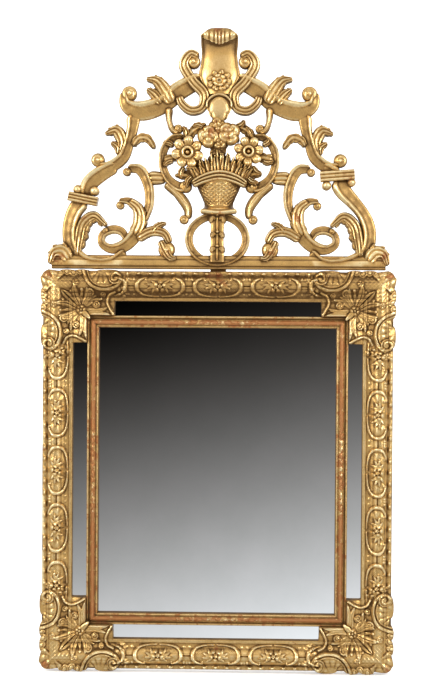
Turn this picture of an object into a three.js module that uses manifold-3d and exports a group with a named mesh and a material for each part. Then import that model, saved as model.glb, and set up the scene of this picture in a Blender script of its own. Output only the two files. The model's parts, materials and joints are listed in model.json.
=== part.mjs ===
// Wall mirror in carved and gilded wood: a carved outer frame, plain border plates, a moulded inner frame
// around the central plate, and a pierced crest of scrolls around a basket of flowers.
// Millimetres. +X is to the right seen from the front, +Z is up, the front faces -Y, and the flat backs lie
// in the plane y = 0. The origin is the middle of the top rail's back, where the mirror is fixed to the wall.
import * as THREE from "three";
import Module from "manifold-3d";

const wasm = await Module();
wasm.setup();

// Outer frame: depths are measured forward from the wall
const FRAME_WIDTH = 650;
const FRAME_HEIGHT = 741;
const RAIL_WIDTH = 56;
const EDGE_DEPTH = 20;
const BEAD_DEPTH = 26;
const GROOVE_DEPTH = 23;
const MOULDING_DEPTH = 33;
const SHOULDER_DEPTH = 31;
const SLOPE_DEPTH = 29;
const HOLLOW_DEPTH = 22;
const LIP_DEPTH = 21;
const BEAD_WIDTH = 10;
const SHOULDER_WIDTH = 6;
const LIP_WIDTH = 7;
const MITRE_GAP = 0.3;

// Row of cartouches along a rail: each is a ridge around a shell, and a dot parts it from the next
const CARTOUCHE_PITCH = 107;
const CARTOUCHE_LENGTH = 84;
const CARTOUCHE_WIDTH = 36;
const DOT_LENGTH = 18;
const DOT_WIDTH = 24;
const CARVING_RISE = 5;
const DOT_RISE = 4;

// Corner pieces: a cushion that covers the corner of the border, with a ribbed shell that opens from its hinge
// near the inner corner, and a scroll on each rail
const CORNER_REACH = 134;
const CORNER_FADE = 28;
const CORNER_RISE = 5;
const BORDER_RAMP = 20;
const HINGE_INSET = 8;
const SHELL_RADIUS = 45;
const SHELL_BREADTH = 42;
const SHELL_RIBS = 3;
const SCROLL_RUN = 98;
const SCROLL_ACROSS = 14;
const SCROLL_RADIUS = 26;
const SCROLL_RIDGE = 13;

// Swelling of the outer edge near the corners: a tip, then lobes. The level rails swell less than the upright
// ones, so that the crest's foot clears the top one.
const TIP_LENGTH = 64;
const SIDE_TIP_RUN = 18;
const SIDE_TIP_BULGE = 7;
const SIDE_LOBE_BULGE = 4;
const LEVEL_TIP_RUN = 10;
const LEVEL_TIP_BULGE = 3;
const LEVEL_LOBE_BULGE = 2;
const LOBE_SPACING = 37;
const LOBES_REACH = 160;
const LOBES_FADE = 20;

// Glass and the board behind it
const BORDER_WIDTH = 27;
const PLATE_THICKNESS = 4;
const REBATE_WIDTH = 8;
const BOARD_THICKNESS = 5;
const BOARD_RECESS = 4;
const FIT = 0.3;

// Inner frame
const INNER_WIDTH = 22;
const INNER_DEPTH = 14;
const INNER_LAP = 6;

// Crest: its tenon stands in a mortise in the top rail, and its foot clears the frame by a thin gap
const CREST_WIDTH = 632;
const CREST_HEIGHT = 450;
const SCROLL_DEPTH = 24;
const LEAF_DEPTH = 26;
const HUSK_DEPTH = 29;
const CLASP_DEPTH = 30;
const ROSETTE_DEPTH = 32;
const FLOWER_DEPTH = 38;
const RIM_DEPTH = 41;
const FLOWER_EYE_DEPTH = 44;
const CREST_GAP = 4;
const FOOT_INSET = 6;
const FOOT_HEIGHT = 26;
const FOOT_DEPTH = 20;
const FOOT_SLOPE_HEIGHT = 10;
const FOOT_SLOPE_DEPTH = 7;
const TENON_WIDTH = 29;
const TENON_DEPTH = 12;
const TENON_LENGTH = 15;

const frameTop = RAIL_WIDTH / 2;
const frameMiddle = frameTop - FRAME_HEIGHT / 2;
const boardFront = BOARD_RECESS + BOARD_THICKNESS;
const plateBack = boardFront + FIT;
const plateFront = plateBack + PLATE_THICKNESS;
const pocketDepth = plateFront + FIT;
const innerFront = pocketDepth + INNER_DEPTH;
const innerOuterWidth = FRAME_WIDTH - 2 * (RAIL_WIDTH + BORDER_WIDTH);
const innerOuterHeight = FRAME_HEIGHT - 2 * (RAIL_WIDTH + BORDER_WIDTH);

const gilding = () => new THREE.MeshStandardMaterial({ color: 0xc9a65b, roughness: 0.4, metalness: 0.9 });
const wornGilding = () => new THREE.MeshStandardMaterial({ color: 0xb07a3e, roughness: 0.5, metalness: 0.6 });
const silvering = () => new THREE.MeshStandardMaterial({ color: 0xd8dade, roughness: 0.05, metalness: 1 });
const bareWood = () => new THREE.MeshStandardMaterial({ color: 0x7a5a3c, roughness: 0.8, metalness: 0 });

const clamp = (value, low, high) => Math.min(high, Math.max(low, value));
const smooth = (value) => {
  const t = clamp(value, 0, 1);
  return t * t * (3 - 2 * t);
};
// A bump of height 1 at the centre that reaches 0 at the given half width.
const bump = (value, centre, half) => smooth(1 - Math.abs(value - centre) / half);

// A closed solid from points [x, y, z] and triangles, turned so that its faces point outwards.
function solid(points, faces) {
  let volume = 0;
  for (const [a, b, c] of faces) {
    const [p, q, r] = [points[a], points[b], points[c]];
    volume += p[0] * (q[1] * r[2] - q[2] * r[1]);
    volume += p[1] * (q[2] * r[0] - q[0] * r[2]);
    volume += p[2] * (q[0] * r[1] - q[1] * r[0]);
  }
  const outward = volume < 0 ? faces.map(([a, b, c]) => [a, c, b]) : faces;
  return new wasm.Manifold(new wasm.Mesh({
    numProp: 3,
    vertProperties: new Float32Array(points.flat()),
    triVerts: new Uint32Array(outward.flat()),
  }));
}

// Triangles over a flat ring of points, turned the way that the ring runs.
function capOf(ring) {
  const normal = [0, 0, 0];
  ring.forEach((p, i) => {
    const q = ring[(i + 1) % ring.length];
    normal[0] += p[1] * q[2] - p[2] * q[1];
    normal[1] += p[2] * q[0] - p[0] * q[2];
    normal[2] += p[0] * q[1] - p[1] * q[0];
  });
  const sizes = normal.map(Math.abs);
  const facing = sizes.indexOf(Math.max(...sizes));
  const flat = ring.map((p) => new THREE.Vector2(p[(facing + 1) % 3], p[(facing + 2) % 3]));
  const turn = Math.sign(THREE.ShapeUtils.area(flat));
  return THREE.ShapeUtils.triangulateShape(flat, []).map(([a, b, c]) => (
    turn * THREE.ShapeUtils.area([flat[a], flat[b], flat[c]]) > 0 ? [a, b, c] : [a, c, b]
  ));
}

// A solid through rings of points, each ring closed; the two ends are capped unless the rings form a loop.
function loft(rings, loop = false) {
  const size = rings[0].length;
  const faces = [];
  const bands = loop ? rings.length : rings.length - 1;
  for (let i = 0; i < bands; i++) {
    const near = i * size;
    const far = ((i + 1) % rings.length) * size;
    for (let j = 0; j < size; j++) {
      const k = (j + 1) % size;
      faces.push([near + j, near + k, far + k], [near + j, far + k, far + j]);
    }
  }
  if (!loop) {
    for (const [a, b, c] of capOf(rings[0])) faces.push([a, c, b]);
    for (const face of capOf(rings[bands])) faces.push(face.map((corner) => bands * size + corner));
  }
  return solid(rings.flat(), faces);
}

function box(x0, x1, y0, y1, z0, z1) {
  return loft([z0, z1].map((z) => [[x0, y0, z], [x1, y0, z], [x1, y1, z], [x0, y1, z]]));
}

function meshOf(name, shape, material) {
  const { vertProperties, triVerts } = shape.getMesh();
  const geometry = new THREE.BufferGeometry();
  geometry.setAttribute("position", new THREE.BufferAttribute(new Float32Array(vertProperties), 3));
  geometry.setIndex(new THREE.BufferAttribute(new Uint32Array(triVerts), 1));
  geometry.computeVertexNormals();
  const mesh = new THREE.Mesh(geometry, material);
  material.flatShading = true;
  mesh.name = name;
  return mesh;
}

// Outer rails, drawn as a top rail: the run is along X, and the distance across is from the outer edge inwards

const fieldWidth = RAIL_WIDTH - LIP_WIDTH - BEAD_WIDTH;
const torusAt = BEAD_WIDTH + fieldWidth * 0.3;
const hollowAt = BEAD_WIDTH + fieldWidth * 0.8;
const MOULDING = [
  [0, EDGE_DEPTH],
  [BEAD_WIDTH / 2, BEAD_DEPTH],
  [BEAD_WIDTH, GROOVE_DEPTH],
  [torusAt - SHOULDER_WIDTH, SHOULDER_DEPTH],
  [torusAt, MOULDING_DEPTH],
  [(torusAt + hollowAt) / 2, SLOPE_DEPTH],
  [hollowAt, HOLLOW_DEPTH],
  [RAIL_WIDTH - LIP_WIDTH, LIP_DEPTH],
  [RAIL_WIDTH, LIP_DEPTH],
];

function mouldingDepth(across) {
  const next = MOULDING.findIndex(([at]) => at >= across);
  if (next < 0) return LIP_DEPTH;
  if (next === 0) return EDGE_DEPTH;
  const [[at0, depth0], [at1, depth1]] = [MOULDING[next - 1], MOULDING[next]];
  return depth0 + ((depth1 - depth0) * (across - at0)) / (at1 - at0);
}

// Radii in a cartouche, as shares of its half length or half width
const RIDGE_AT = 0.95;
const RIDGE_HALF = 0.45;
const SHELL_HALF = 0.6;

function rowCarving(along, across) {
  const middle = BEAD_WIDTH + fieldWidth / 2;
  const offset = along - Math.round(along / CARTOUCHE_PITCH) * CARTOUCHE_PITCH;
  const radius = Math.hypot((2 * offset) / CARTOUCHE_LENGTH, (2 * (across - middle)) / CARTOUCHE_WIDTH);
  const ridge = bump(radius, RIDGE_AT, RIDGE_HALF);
  const shell = bump(radius, 0, SHELL_HALF);
  const dot = bump(Math.abs(offset), CARTOUCHE_PITCH / 2, DOT_LENGTH / 2) * bump(across, middle, DOT_WIDTH / 2);
  return Math.max(CARVING_RISE * ridge, CARVING_RISE * shell, DOT_RISE * dot);
}

// Half of the angle over which a corner's shell opens
const SHELL_HALF_ANGLE = 0.41 * Math.PI;

function cornerCarving(run, across) {
  const hinge = RAIL_WIDTH + BORDER_WIDTH - HINGE_INSET;
  const radius = Math.hypot(hinge - run, hinge - across);
  const angle = Math.atan2(hinge - across, hinge - run) - Math.PI / 4;
  const ribs = 0.5 + 0.5 * Math.cos((Math.PI * SHELL_RIBS * angle) / SHELL_HALF_ANGLE);
  const shell = ribs * bump(radius, SHELL_RADIUS, SHELL_BREADTH) * bump(angle, 0, SHELL_HALF_ANGLE);
  const scroll = bump(Math.hypot(run - SCROLL_RUN, across - SCROLL_ACROSS), SCROLL_RADIUS, SCROLL_RIDGE);
  return CORNER_RISE * Math.max(shell, scroll);
}

function railDepthAt(run, halfLength, across) {
  const inCorner = smooth((CORNER_REACH + CORNER_FADE / 2 - run) / CORNER_FADE);
  const row = rowCarving(halfLength - run, across) * (1 - inCorner);
  const border = smooth((across - RAIL_WIDTH + LIP_WIDTH) / BORDER_RAMP);
  const cushion = CORNER_RISE * bump(across, RAIL_WIDTH * 0.55, RAIL_WIDTH / 2);
  const raised = (cushion + cornerCarving(run, across) + border * (innerFront - LIP_DEPTH)) * inCorner;
  return mouldingDepth(across) + (across < BEAD_WIDTH ? 0 : row) + raised;
}

// How far the outer edge swells beyond the straight line, at a distance along it from the corner.
function edgeBulge(run, level) {
  const tipRun = level ? LEVEL_TIP_RUN : SIDE_TIP_RUN;
  const tip = (level ? LEVEL_TIP_BULGE : SIDE_TIP_BULGE) * bump(run, tipRun, TIP_LENGTH / 2);
  const wave = Math.abs(Math.sin((Math.PI * run) / LOBE_SPACING)) * smooth((LOBES_REACH - run) / LOBES_FADE);
  return Math.max(tip, wave * (level ? LEVEL_LOBE_BULGE : SIDE_LOBE_BULGE));
}

const CORNER_STEPS = 8;
const STEPS_IN_PITCH = 6;

function railSolid(outerLength, level) {
  const half = outerLength / 2;
  const reach = RAIL_WIDTH + BORDER_WIDTH - FIT;
  const rows = [...MOULDING.map(([at]) => at), (RAIL_WIDTH + reach) / 2, reach];
  const mainRows = MOULDING.length - 1;
  const step = CARTOUCHE_PITCH / STEPS_IN_PITCH;
  const straightSteps = Math.floor((half - CORNER_REACH - step / 3) / step);

  // One half's columns from the mitre to the middle, as the distance from the corner at a distance across
  const mitre = (across) => across + MITRE_GAP / Math.SQRT2;
  const columns = [];
  for (let c = 0; c <= CORNER_STEPS; c++) {
    columns.push((across) => mitre(across) + ((CORNER_REACH - mitre(across)) * c) / CORNER_STEPS);
  }
  for (let k = straightSteps; k > 0; k--) columns.push(() => half - k * step);
  const positions = [
    ...columns.map((run) => (across) => run(across) - half),
    () => 0,
    ...columns.map((run) => (across) => half - run(across)).reverse(),
  ];

  const points = [];
  for (const [i, position] of positions.entries()) {
    for (const [j, row] of rows.entries()) {
      const nearEdge = j === 0 ? 1 : j === 1 ? 0.5 : 0;
      const across = row - nearEdge * edgeBulge(half - Math.abs(position(row)), level);
      const x = position(across);
      const z = -across;
      const front = railDepthAt(half - Math.abs(x), half, row);
      points.push([x, -front, z], [x, 0, z]);
    }
  }
  // Faces: the carved front, the flat back in two strips, the two edges, the mitres, and the ends of the
  // corner blocks where they step back to the plain lip
  const lastRow = rows.length - 1;
  const lastColumn = positions.length - 1;
  const front = (i, j) => 2 * (i * rows.length + j);
  const back = (i, j) => front(i, j) + 1;
  const faces = [];
  const quad = (p, q, r, s) => faces.push([p, q, r], [p, r, s]);
  // A fan's centre lies near the back, where it sees the whole carved edge
  const fan = (ring) => {
    const middle = [0, 1, 2].map((axis) => ring.reduce((sum, p) => sum + points[p][axis], 0) / ring.length);
    points.push([middle[0], middle[1] / 4, middle[2]]);
    ring.forEach((p, n) => faces.push([points.length - 1, p, ring[(n + 1) % ring.length]]));
  };
  for (let i = 0; i < lastColumn; i++) {
    const inner = i < CORNER_STEPS || i >= lastColumn - CORNER_STEPS ? lastRow : mainRows;
    for (let j = 0; j < inner; j++) quad(front(i, j), front(i, j + 1), front(i + 1, j + 1), front(i + 1, j));
    quad(back(i, 0), back(i + 1, 0), back(i + 1, mainRows), back(i, mainRows));
    if (inner > mainRows) quad(back(i, mainRows), back(i + 1, mainRows), back(i + 1, inner), back(i, inner));
    quad(front(i, 0), front(i + 1, 0), back(i + 1, 0), back(i, 0));
    quad(front(i, inner), back(i, inner), back(i + 1, inner), front(i + 1, inner));
  }
  const wall = (i, from, backRows) => {
    const edge = [];
    for (let j = from; j <= lastRow; j++) edge.push(front(i, j));
    return [...edge, ...backRows.map((j) => back(i, j))];
  };
  fan(wall(0, 0, [lastRow, mainRows, 0]).reverse());
  fan(wall(lastColumn, 0, [lastRow, mainRows, 0]));
  fan(wall(CORNER_STEPS, mainRows, [lastRow, mainRows]));
  fan(wall(lastColumn - CORNER_STEPS, mainRows, [lastRow, mainRows]).reverse());
  return solid(points, faces);
}

// How far a cut runs past the face that it starts from
const OVERCUT = 1;

// A rail with the rebate that holds the plates and the board cut into its back.
function rebatedRail(outerLength, crossLength, level) {
  const side = RAIL_WIDTH - REBATE_WIDTH;
  const halfPocket = outerLength / 2 - side;
  const pocket = box(-halfPocket, halfPocket, -pocketDepth, OVERCUT, side - crossLength, -side);
  return railSolid(outerLength, level).subtract(pocket);
}

// Places a rail drawn with its outer edge on the X axis at the frame's top, bottom, left or right.
function placeRail(mesh, turn, distance) {
  const group = new THREE.Group();
  mesh.position.z = distance;
  group.position.z = frameMiddle;
  group.rotation.y = turn;
  group.add(mesh);
  return group;
}

const QUARTER_TURNS = { top: 0, right: Math.PI / 2, bottom: Math.PI, left: -Math.PI / 2 };

function outerRails() {
  const mortiseX = TENON_WIDTH / 2 + FIT;
  const mortise = box(-mortiseX, mortiseX, -TENON_DEPTH - FIT, OVERCUT, -TENON_LENGTH - FIT, OVERCUT);
  return Object.entries(QUARTER_TURNS).map(([side, turn]) => {
    const level = side === "top" || side === "bottom";
    const length = level ? FRAME_WIDTH : FRAME_HEIGHT;
    const cross = level ? FRAME_HEIGHT : FRAME_WIDTH;
    const shape = rebatedRail(length, cross, level);
    const rail = side === "top" ? shape.subtract(mortise) : shape;
    return placeRail(meshOf("frame_rail_" + side, rail, gilding()), turn, cross / 2);
  });
}

// Inner frame, as shares of its width and depth: a fillet, a hollow, a worn round, and a bevel down to the
// central plate
const INNER_PROFILE_SHARES = [
  [0, 0], [0, 0.55], [0.12, 0.62], [0.24, 0.5], [0.38, 0.8], [0.52, 1], [0.66, 0.95], [0.78, 0.68],
  [0.9, 0.66], [1, 0.45], [1, 0],
];

function innerRails() {
  return Object.entries(QUARTER_TURNS).map(([side, turn]) => {
    const level = side === "top" || side === "bottom";
    const length = level ? innerOuterWidth : innerOuterHeight;
    const cross = level ? innerOuterHeight : innerOuterWidth;
    const end = (sign) => INNER_PROFILE_SHARES.map(([u, v]) => {
      const x = sign * (length / 2 - u * INNER_WIDTH - MITRE_GAP / Math.SQRT2);
      return [x, -pocketDepth - v * INNER_DEPTH, -u * INNER_WIDTH];
    });
    return placeRail(meshOf("inner_rail_" + side, loft([end(-1), end(1)]), wornGilding()), turn, cross / 2);
  });
}

// Plates and board

function plate(name, x0, x1, z0, z1) {
  const shape = box(x0, x1, -plateFront, -plateBack, z0 + frameMiddle, z1 + frameMiddle);
  return meshOf(name, shape, silvering());
}

function plates() {
  const pocketX = FRAME_WIDTH / 2 - RAIL_WIDTH + REBATE_WIDTH - FIT;
  const pocketZ = FRAME_HEIGHT / 2 - RAIL_WIDTH + REBATE_WIDTH - FIT;
  const innerX = innerOuterWidth / 2 - INNER_LAP;
  const innerZ = innerOuterHeight / 2 - INNER_LAP;
  const sightX = innerOuterWidth / 2 - INNER_WIDTH + INNER_LAP;
  const sightZ = innerOuterHeight / 2 - INNER_WIDTH + INNER_LAP;
  const board = box(
    -pocketX, pocketX, -boardFront, -BOARD_RECESS, frameMiddle - pocketZ, frameMiddle + pocketZ,
  );
  return [
    plate("mirror_plate_centre", -sightX, sightX, -sightZ, sightZ),
    plate("mirror_plate_top", -pocketX, pocketX, innerZ, pocketZ),
    plate("mirror_plate_bottom", -pocketX, pocketX, -pocketZ, -innerZ),
    plate("mirror_plate_left", -pocketX, -innerX, FIT - innerZ, innerZ - FIT),
    plate("mirror_plate_right", innerX, pocketX, FIT - innerZ, innerZ - FIT),
    meshOf("back_board", board, bareWood()),
  ];
}

// Crest: the scrolls are drawn in shares of the crest, 632 to its width outwards from its axis, and 450 to its
// height up from the top of the frame

const WIDTH_IN_SHARES = 632;
const HEIGHT_IN_SHARES = 450;
const stretchX = CREST_WIDTH / WIDTH_IN_SHARES;
const stretchZ = CREST_HEIGHT / HEIGHT_IN_SHARES;
const stretchWidth = Math.sqrt(stretchX * stretchZ);

// Cross-sections as [share of the width, share of the depth]
const RIDGED_SHARES = [[-0.45, 0], [-0.5, 0.55], [0, 1], [0.5, 0.55], [0.45, 0]];
const FLAT_TOPPED_SHARES = [[-0.5, 0], [-0.34, 1], [0.34, 1], [0.5, 0]];

// A band along a smooth curve through [x, z, width] points, with a flat back.
function band(points, { depth = SCROLL_DEPTH, section = RIDGED_SHARES, steps, loop = false }) {
  const curve = new THREE.CatmullRomCurve3(
    points.map(([x, z, width]) => new THREE.Vector3(x * stretchX, z * stretchZ, width * stretchWidth)),
    loop, "centripetal",
  );
  const rings = [];
  for (let i = 0; i < (loop ? steps : steps + 1); i++) {
    const here = curve.getPoint(i / steps);
    const along = curve.getTangent(i / steps);
    const length = Math.hypot(along.x, along.y);
    const [nx, nz] = [-along.y / length, along.x / length];
    rings.push(section.map(([u, v]) => [
      here.x + nx * u * here.z, -v * depth, frameTop + here.y + nz * u * here.z,
    ]));
  }
  return loft(rings, loop);
}

// Profiles of a boss, as shares of its radius and depth from the back to the front
const ROUND_BOSS_SHARES = [[0.9, 0], [1, 0.72], [0.5, 1]];
const PETALLED_BOSS_SHARES = [[0.9, 0], [1, 0.72], [0.5, 0.8]];
const PETAL_NOTCH = 0.78;

// A round or oval boss with a flat back; lobes cut its edge into petals.
function boss(x, z, radius, { depth = SCROLL_DEPTH, tall = 1, lobes = 0, sides = 8 } = {}) {
  const count = lobes ? 2 * lobes : sides;
  const profile = lobes ? PETALLED_BOSS_SHARES : ROUND_BOSS_SHARES;
  const rings = profile.map(([share, level], order) => Array.from({ length: count }, (_, i) => {
    const angle = (2 * Math.PI * i) / count;
    const notched = lobes && i % 2 && order < profile.length - 1;
    const reach = radius * share * (notched ? PETAL_NOTCH : 1) * stretchWidth;
    const up = tall * reach * Math.sin(angle);
    return [x * stretchX + reach * Math.cos(angle), -depth * level, frameTop + z * stretchZ + up];
  }));
  return loft(rings);
}

// Bands that the left and right sides share, outwards from the axis
const SHARED_BANDS = {
  shoulder: [[30, 359, 28], [72, 337, 33], [108, 309, 33], [148, 298, 34], [173, 309, 23], [179, 333, 12]],
  stem: [[159, 292, 27], [162, 262, 20], [168, 238, 19], [179, 211, 21], [201, 195, 20], [224, 194, 13]],
  loop: [[174, 67, 9], [199, 78, 14], [217, 60, 11], [200, 40, 16], [167, 55, 22], [147, 88, 25],
    [149, 119, 20], [169, 129, 12], [186, 129, 9]],
  big_c: [[170, 191, 14], [148, 189, 18], [132, 162, 18], [129, 126, 16], [140, 92, 14]],
  kidney: [[65, 250, 10], [85, 247, 13], [102, 226, 14], [104, 196, 14], [94, 172, 15], [75, 157, 19],
    [60, 157, 20]],
  ear: [[40, 401, 12], [55, 406, 13], [67, 385, 16], [49, 352, 16], [28, 327, 16], [33, 303, 14],
    [51, 299, 13], [69, 314, 11]],
};

const SHARED_SPRAYS = {
  sprig: [[164, 229, 10], [149, 243, 15], [132, 243, 16], [118, 227, 9]],
  branch: [[152, 60, 16], [124, 74, 15], [101, 70, 15], [90, 52, 13]],
  link: [[134, 172, 25], [118, 173, 27], [97, 172, 25]],
  neck: [[93, 304, 16], [93, 282, 13], [87, 264, 13], [75, 255, 12]],
  tail: [[100, 163, 14], [71, 138, 20], [57, 115, 17], [57, 97, 14]],
  shoulder_leaf: [[88, 314, 22], [103, 336, 27], [120, 354, 18], [137, 357, 4]],
  shoulder_lobe: [[104, 314, 20], [120, 328, 17], [132, 341, 4]],
  stem_leaf: [[166, 236, 24], [181, 255, 24], [197, 264, 15], [212, 253, 4]],
  stem_lobe: [[168, 222, 20], [186, 236, 18], [200, 240, 5]],
  foot_leaf: [[272, 84, 22], [247, 99, 24], [222, 93, 18], [209, 75, 8]],
  foot_lobe: [[277, 62, 20], [262, 67, 16], [248, 63, 8]],
  foot_husk: [[279, 58, 14], [268, 38, 17], [252, 26, 8]],
  branch_leaf: [[126, 68, 14], [112, 84, 13], [98, 89, 4]],
  end_leaf: [[276, 20, 24], [292, 36, 26], [306, 34, 18], [314, 12, 10]],
};

// Round ends of the scrolls: [x, z, radius]
const SHARED_BOSSES = [
  [167, 329, 13], [225, 206, 12], [183, 122, 8], [171, 184, 8], [96, 40, 16], [61, 157, 12], [76, 264, 9],
  [64, 96, 9], [49, 393, 9], [210, 75, 6], [247, 64, 6],
];

// The clasps and the feet below them differ from side to side, as the carver left them
const LEFT_BANDS = {
  arch: [[190, 197, 24], [218, 182, 28], [240, 163, 29], [248, 138, 29]],
  foot: [[251, 134, 31], [271, 109, 26], [282, 74, 17], [276, 38, 19], [247, 15, 19], [200, 17, 19],
    [173, 37, 13]],
};
const LEFT_CLASP = [[279, 139, 17], [225, 128, 17]];
const LEFT_PEARLS = [[262, 151, 9], [231, 148, 9]];
const RIGHT_BANDS = {
  arch: [[190, 196, 22], [206, 187, 28], [220, 174, 33]],
  foot: [[221, 174, 34], [230, 152, 30], [248, 132, 25], [264, 113, 23], [277, 93, 21], [284, 67, 18],
    [276, 32, 19], [241, 15, 19], [194, 17, 19], [171, 38, 13]],
};
const RIGHT_CLASP = [[188, 176, 19], [251, 181, 19]];
const RIGHT_PEARLS = [[200, 160, 9], [246, 166, 8]];

// Bosses up to this radius have one side less, and a scroll has this many steps for each of its points
const SMALL_BOSS = 10;
const STEPS_IN_SPAN = 1.2;

const mirrored = (points, side) => points.map(([x, ...rest]) => [side * x, ...rest]);

function crestSide(side) {
  const own = side < 0 ? LEFT_BANDS : RIGHT_BANDS;
  const clasp = side < 0 ? LEFT_CLASP : RIGHT_CLASP;
  const pearls = side < 0 ? LEFT_PEARLS : RIGHT_PEARLS;
  const bands = Object.values({ ...SHARED_BANDS, ...own });
  return [
    ...bands.map((points) => (
      band(mirrored(points, side), { steps: Math.round(points.length * STEPS_IN_SPAN) })
    )),
    ...Object.values(SHARED_SPRAYS).map((points) => (
      band(mirrored(points, side), { depth: LEAF_DEPTH, section: FLAT_TOPPED_SHARES, steps: 3 })
    )),
    band(mirrored(clasp, side), { depth: CLASP_DEPTH, section: FLAT_TOPPED_SHARES, steps: 1 }),
    ...mirrored([...SHARED_BOSSES, ...pearls], side).map(([x, z, radius]) => (
      boss(x, z, radius, { depth: LEAF_DEPTH, sides: radius > SMALL_BOSS ? 6 : 5 })
    )),
  ];
}

// The hooded cartouche at the top, the rosette under it and the drop that hangs between the ears.
const PANEL = [[0, 330, 52], [0, 352, 60], [0, 372, 70], [0, 402, 64], [0, 425, 70]];
const HOOD = [[0, 412, 70], [0, 434, 70], [0, 449, 44]];
const ROSETTE = [0, 351, 17];
const DROP = [0, 307, 21];

function topCartouche() {
  return [
    band(PANEL, { section: FLAT_TOPPED_SHARES, steps: 4 }),
    band(HOOD, { depth: FLOWER_DEPTH, section: FLAT_TOPPED_SHARES, steps: 3 }),
    boss(...ROSETTE, { depth: ROSETTE_DEPTH, lobes: 5 }),
    boss(...DROP, { depth: CLASP_DEPTH, tall: 1.5, sides: 9 }),
  ];
}

// Stalks and leaves of the bouquet: the sheaf, the stalks of the four flowers, the stems that tie the large
// flowers to the side scrolls, and the leaves above and below them
const STALKS = [
  [[-2, 170, 46], [-2, 205, 40], [-2, 235, 20]],
  [[-18, 176, 20], [-38, 200, 22], [-56, 214, 20]],
  [[14, 176, 20], [36, 200, 22], [54, 216, 20]],
  [[-6, 225, 20], [-18, 250, 18]],
  [[4, 225, 20], [16, 258, 18]],
  [[68, 214, 20], [102, 207, 18]],
  [[-80, 212, 16], [-104, 206, 16]],
  [[-62, 244, 18], [-46, 262, 18], [-24, 274, 8]],
  [[64, 246, 18], [50, 262, 18], [30, 268, 8]],
  [[-35, 166, 18], [-58, 177, 22], [-82, 178, 6]],
  [[40, 166, 18], [62, 180, 22], [80, 180, 6]],
];

// Flowers: [x, z, radius, petals], two large ones at the sides and two smaller ones above, under a bud
const FLOWERS = [[-58, 220, 31, 7], [55, 222, 30, 7], [-18, 248, 18, 5], [16, 255, 21, 5]];
const BUD = [-10, 270, 13];
const LARGE_FLOWER = 25;
const EYE_SHARE = 0.3;

function bouquet() {
  const large = FLOWERS.filter(([, , radius]) => radius > LARGE_FLOWER);
  return [
    ...FLOWERS.map(([x, z, radius, lobes]) => boss(x, z, radius, { depth: FLOWER_DEPTH, lobes })),
    ...large.map(([x, z, radius]) => boss(x, z, radius * EYE_SHARE, { depth: FLOWER_EYE_DEPTH, sides: 6 })),
    boss(...BUD, { sides: 6 }),
    ...STALKS.map((points) => band(points, { section: FLAT_TOPPED_SHARES, steps: points.length - 1 })),
  ];
}

// The basket, half round: [z, radius] of its foot and its tapering body, and the beaded rim above
const BASKET_LEVELS = [[108, 33], [116, 33], [121, 27], [140, 32], [160, 38], [174, 38]];
const BASKET_SIDES = 6;
const BASKET_RIM = [[-46, 161, 15], [-26, 177, 17], [3, 184, 17], [30, 177, 17], [50, 160, 15]];

function basket() {
  const widest = BASKET_LEVELS.at(-1)[1];
  const rings = BASKET_LEVELS.map(([z, radius]) => Array.from({ length: BASKET_SIDES + 1 }, (_, i) => {
    const angle = (Math.PI * i) / BASKET_SIDES;
    const bulge = (FLOWER_DEPTH * radius) / widest;
    return [-radius * stretchX * Math.cos(angle), -bulge * Math.sin(angle), frameTop + z * stretchZ];
  }));
  return [loft(rings), band(BASKET_RIM, { depth: RIM_DEPTH, steps: 6 })];
}

// The oval ring under the basket, and the chute of husks down its middle: [z, radius]
const RING = { x: -2, z: 60, halfX: 53, halfZ: 44, width: 15, points: 8, steps: 18 };
const CHUTE = [[0, 114, 28], [RING.x, 70, 22], [RING.x, 18, 26]];
const HUSKS = [[93, 13], [72, 12], [52, 11], [33, 12]];

function ovalRing() {
  const path = Array.from({ length: RING.points }, (_, i) => {
    const angle = (2 * Math.PI * i) / RING.points;
    return [RING.x + RING.halfX * Math.cos(angle), RING.z + RING.halfZ * Math.sin(angle), RING.width];
  });
  return [
    band(path, { steps: RING.steps, loop: true }),
    band(CHUTE, { section: FLAT_TOPPED_SHARES, steps: 2 }),
    ...HUSKS.map(([z, radius]) => boss(RING.x, z, radius, { depth: HUSK_DEPTH, tall: 0.8, lobes: 3 })),
  ];
}

function crest() {
  const halfFoot = CREST_WIDTH / 2 - FOOT_INSET;
  const halfTenon = TENON_WIDTH / 2;
  const bottom = frameTop + CREST_GAP;
  const top = bottom + FOOT_HEIGHT;
  const foot = loft([-halfFoot, halfFoot].map((x) => [
    [x, 0, bottom], [x, -FOOT_DEPTH, bottom], [x, -FOOT_DEPTH, top - FOOT_SLOPE_HEIGHT],
    [x, -FOOT_DEPTH + FOOT_SLOPE_DEPTH, top], [x, 0, top],
  ]));
  const tenon = box(-halfTenon, halfTenon, -TENON_DEPTH, 0, frameTop - TENON_LENGTH, bottom + CREST_GAP);
  const pieces = [
    tenon, ...crestSide(-1), ...crestSide(1), ...topCartouche(), ...bouquet(), ...basket(), ...ovalRing(),
  ];
  return meshOf("crest", pieces.reduce((whole, piece) => whole.add(piece), foot), gilding());
}

const wallMirror = new THREE.Group();
wallMirror.add(...outerRails(), ...innerRails(), ...plates(), crest());
export default wallMirror;
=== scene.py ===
import json
import math

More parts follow.
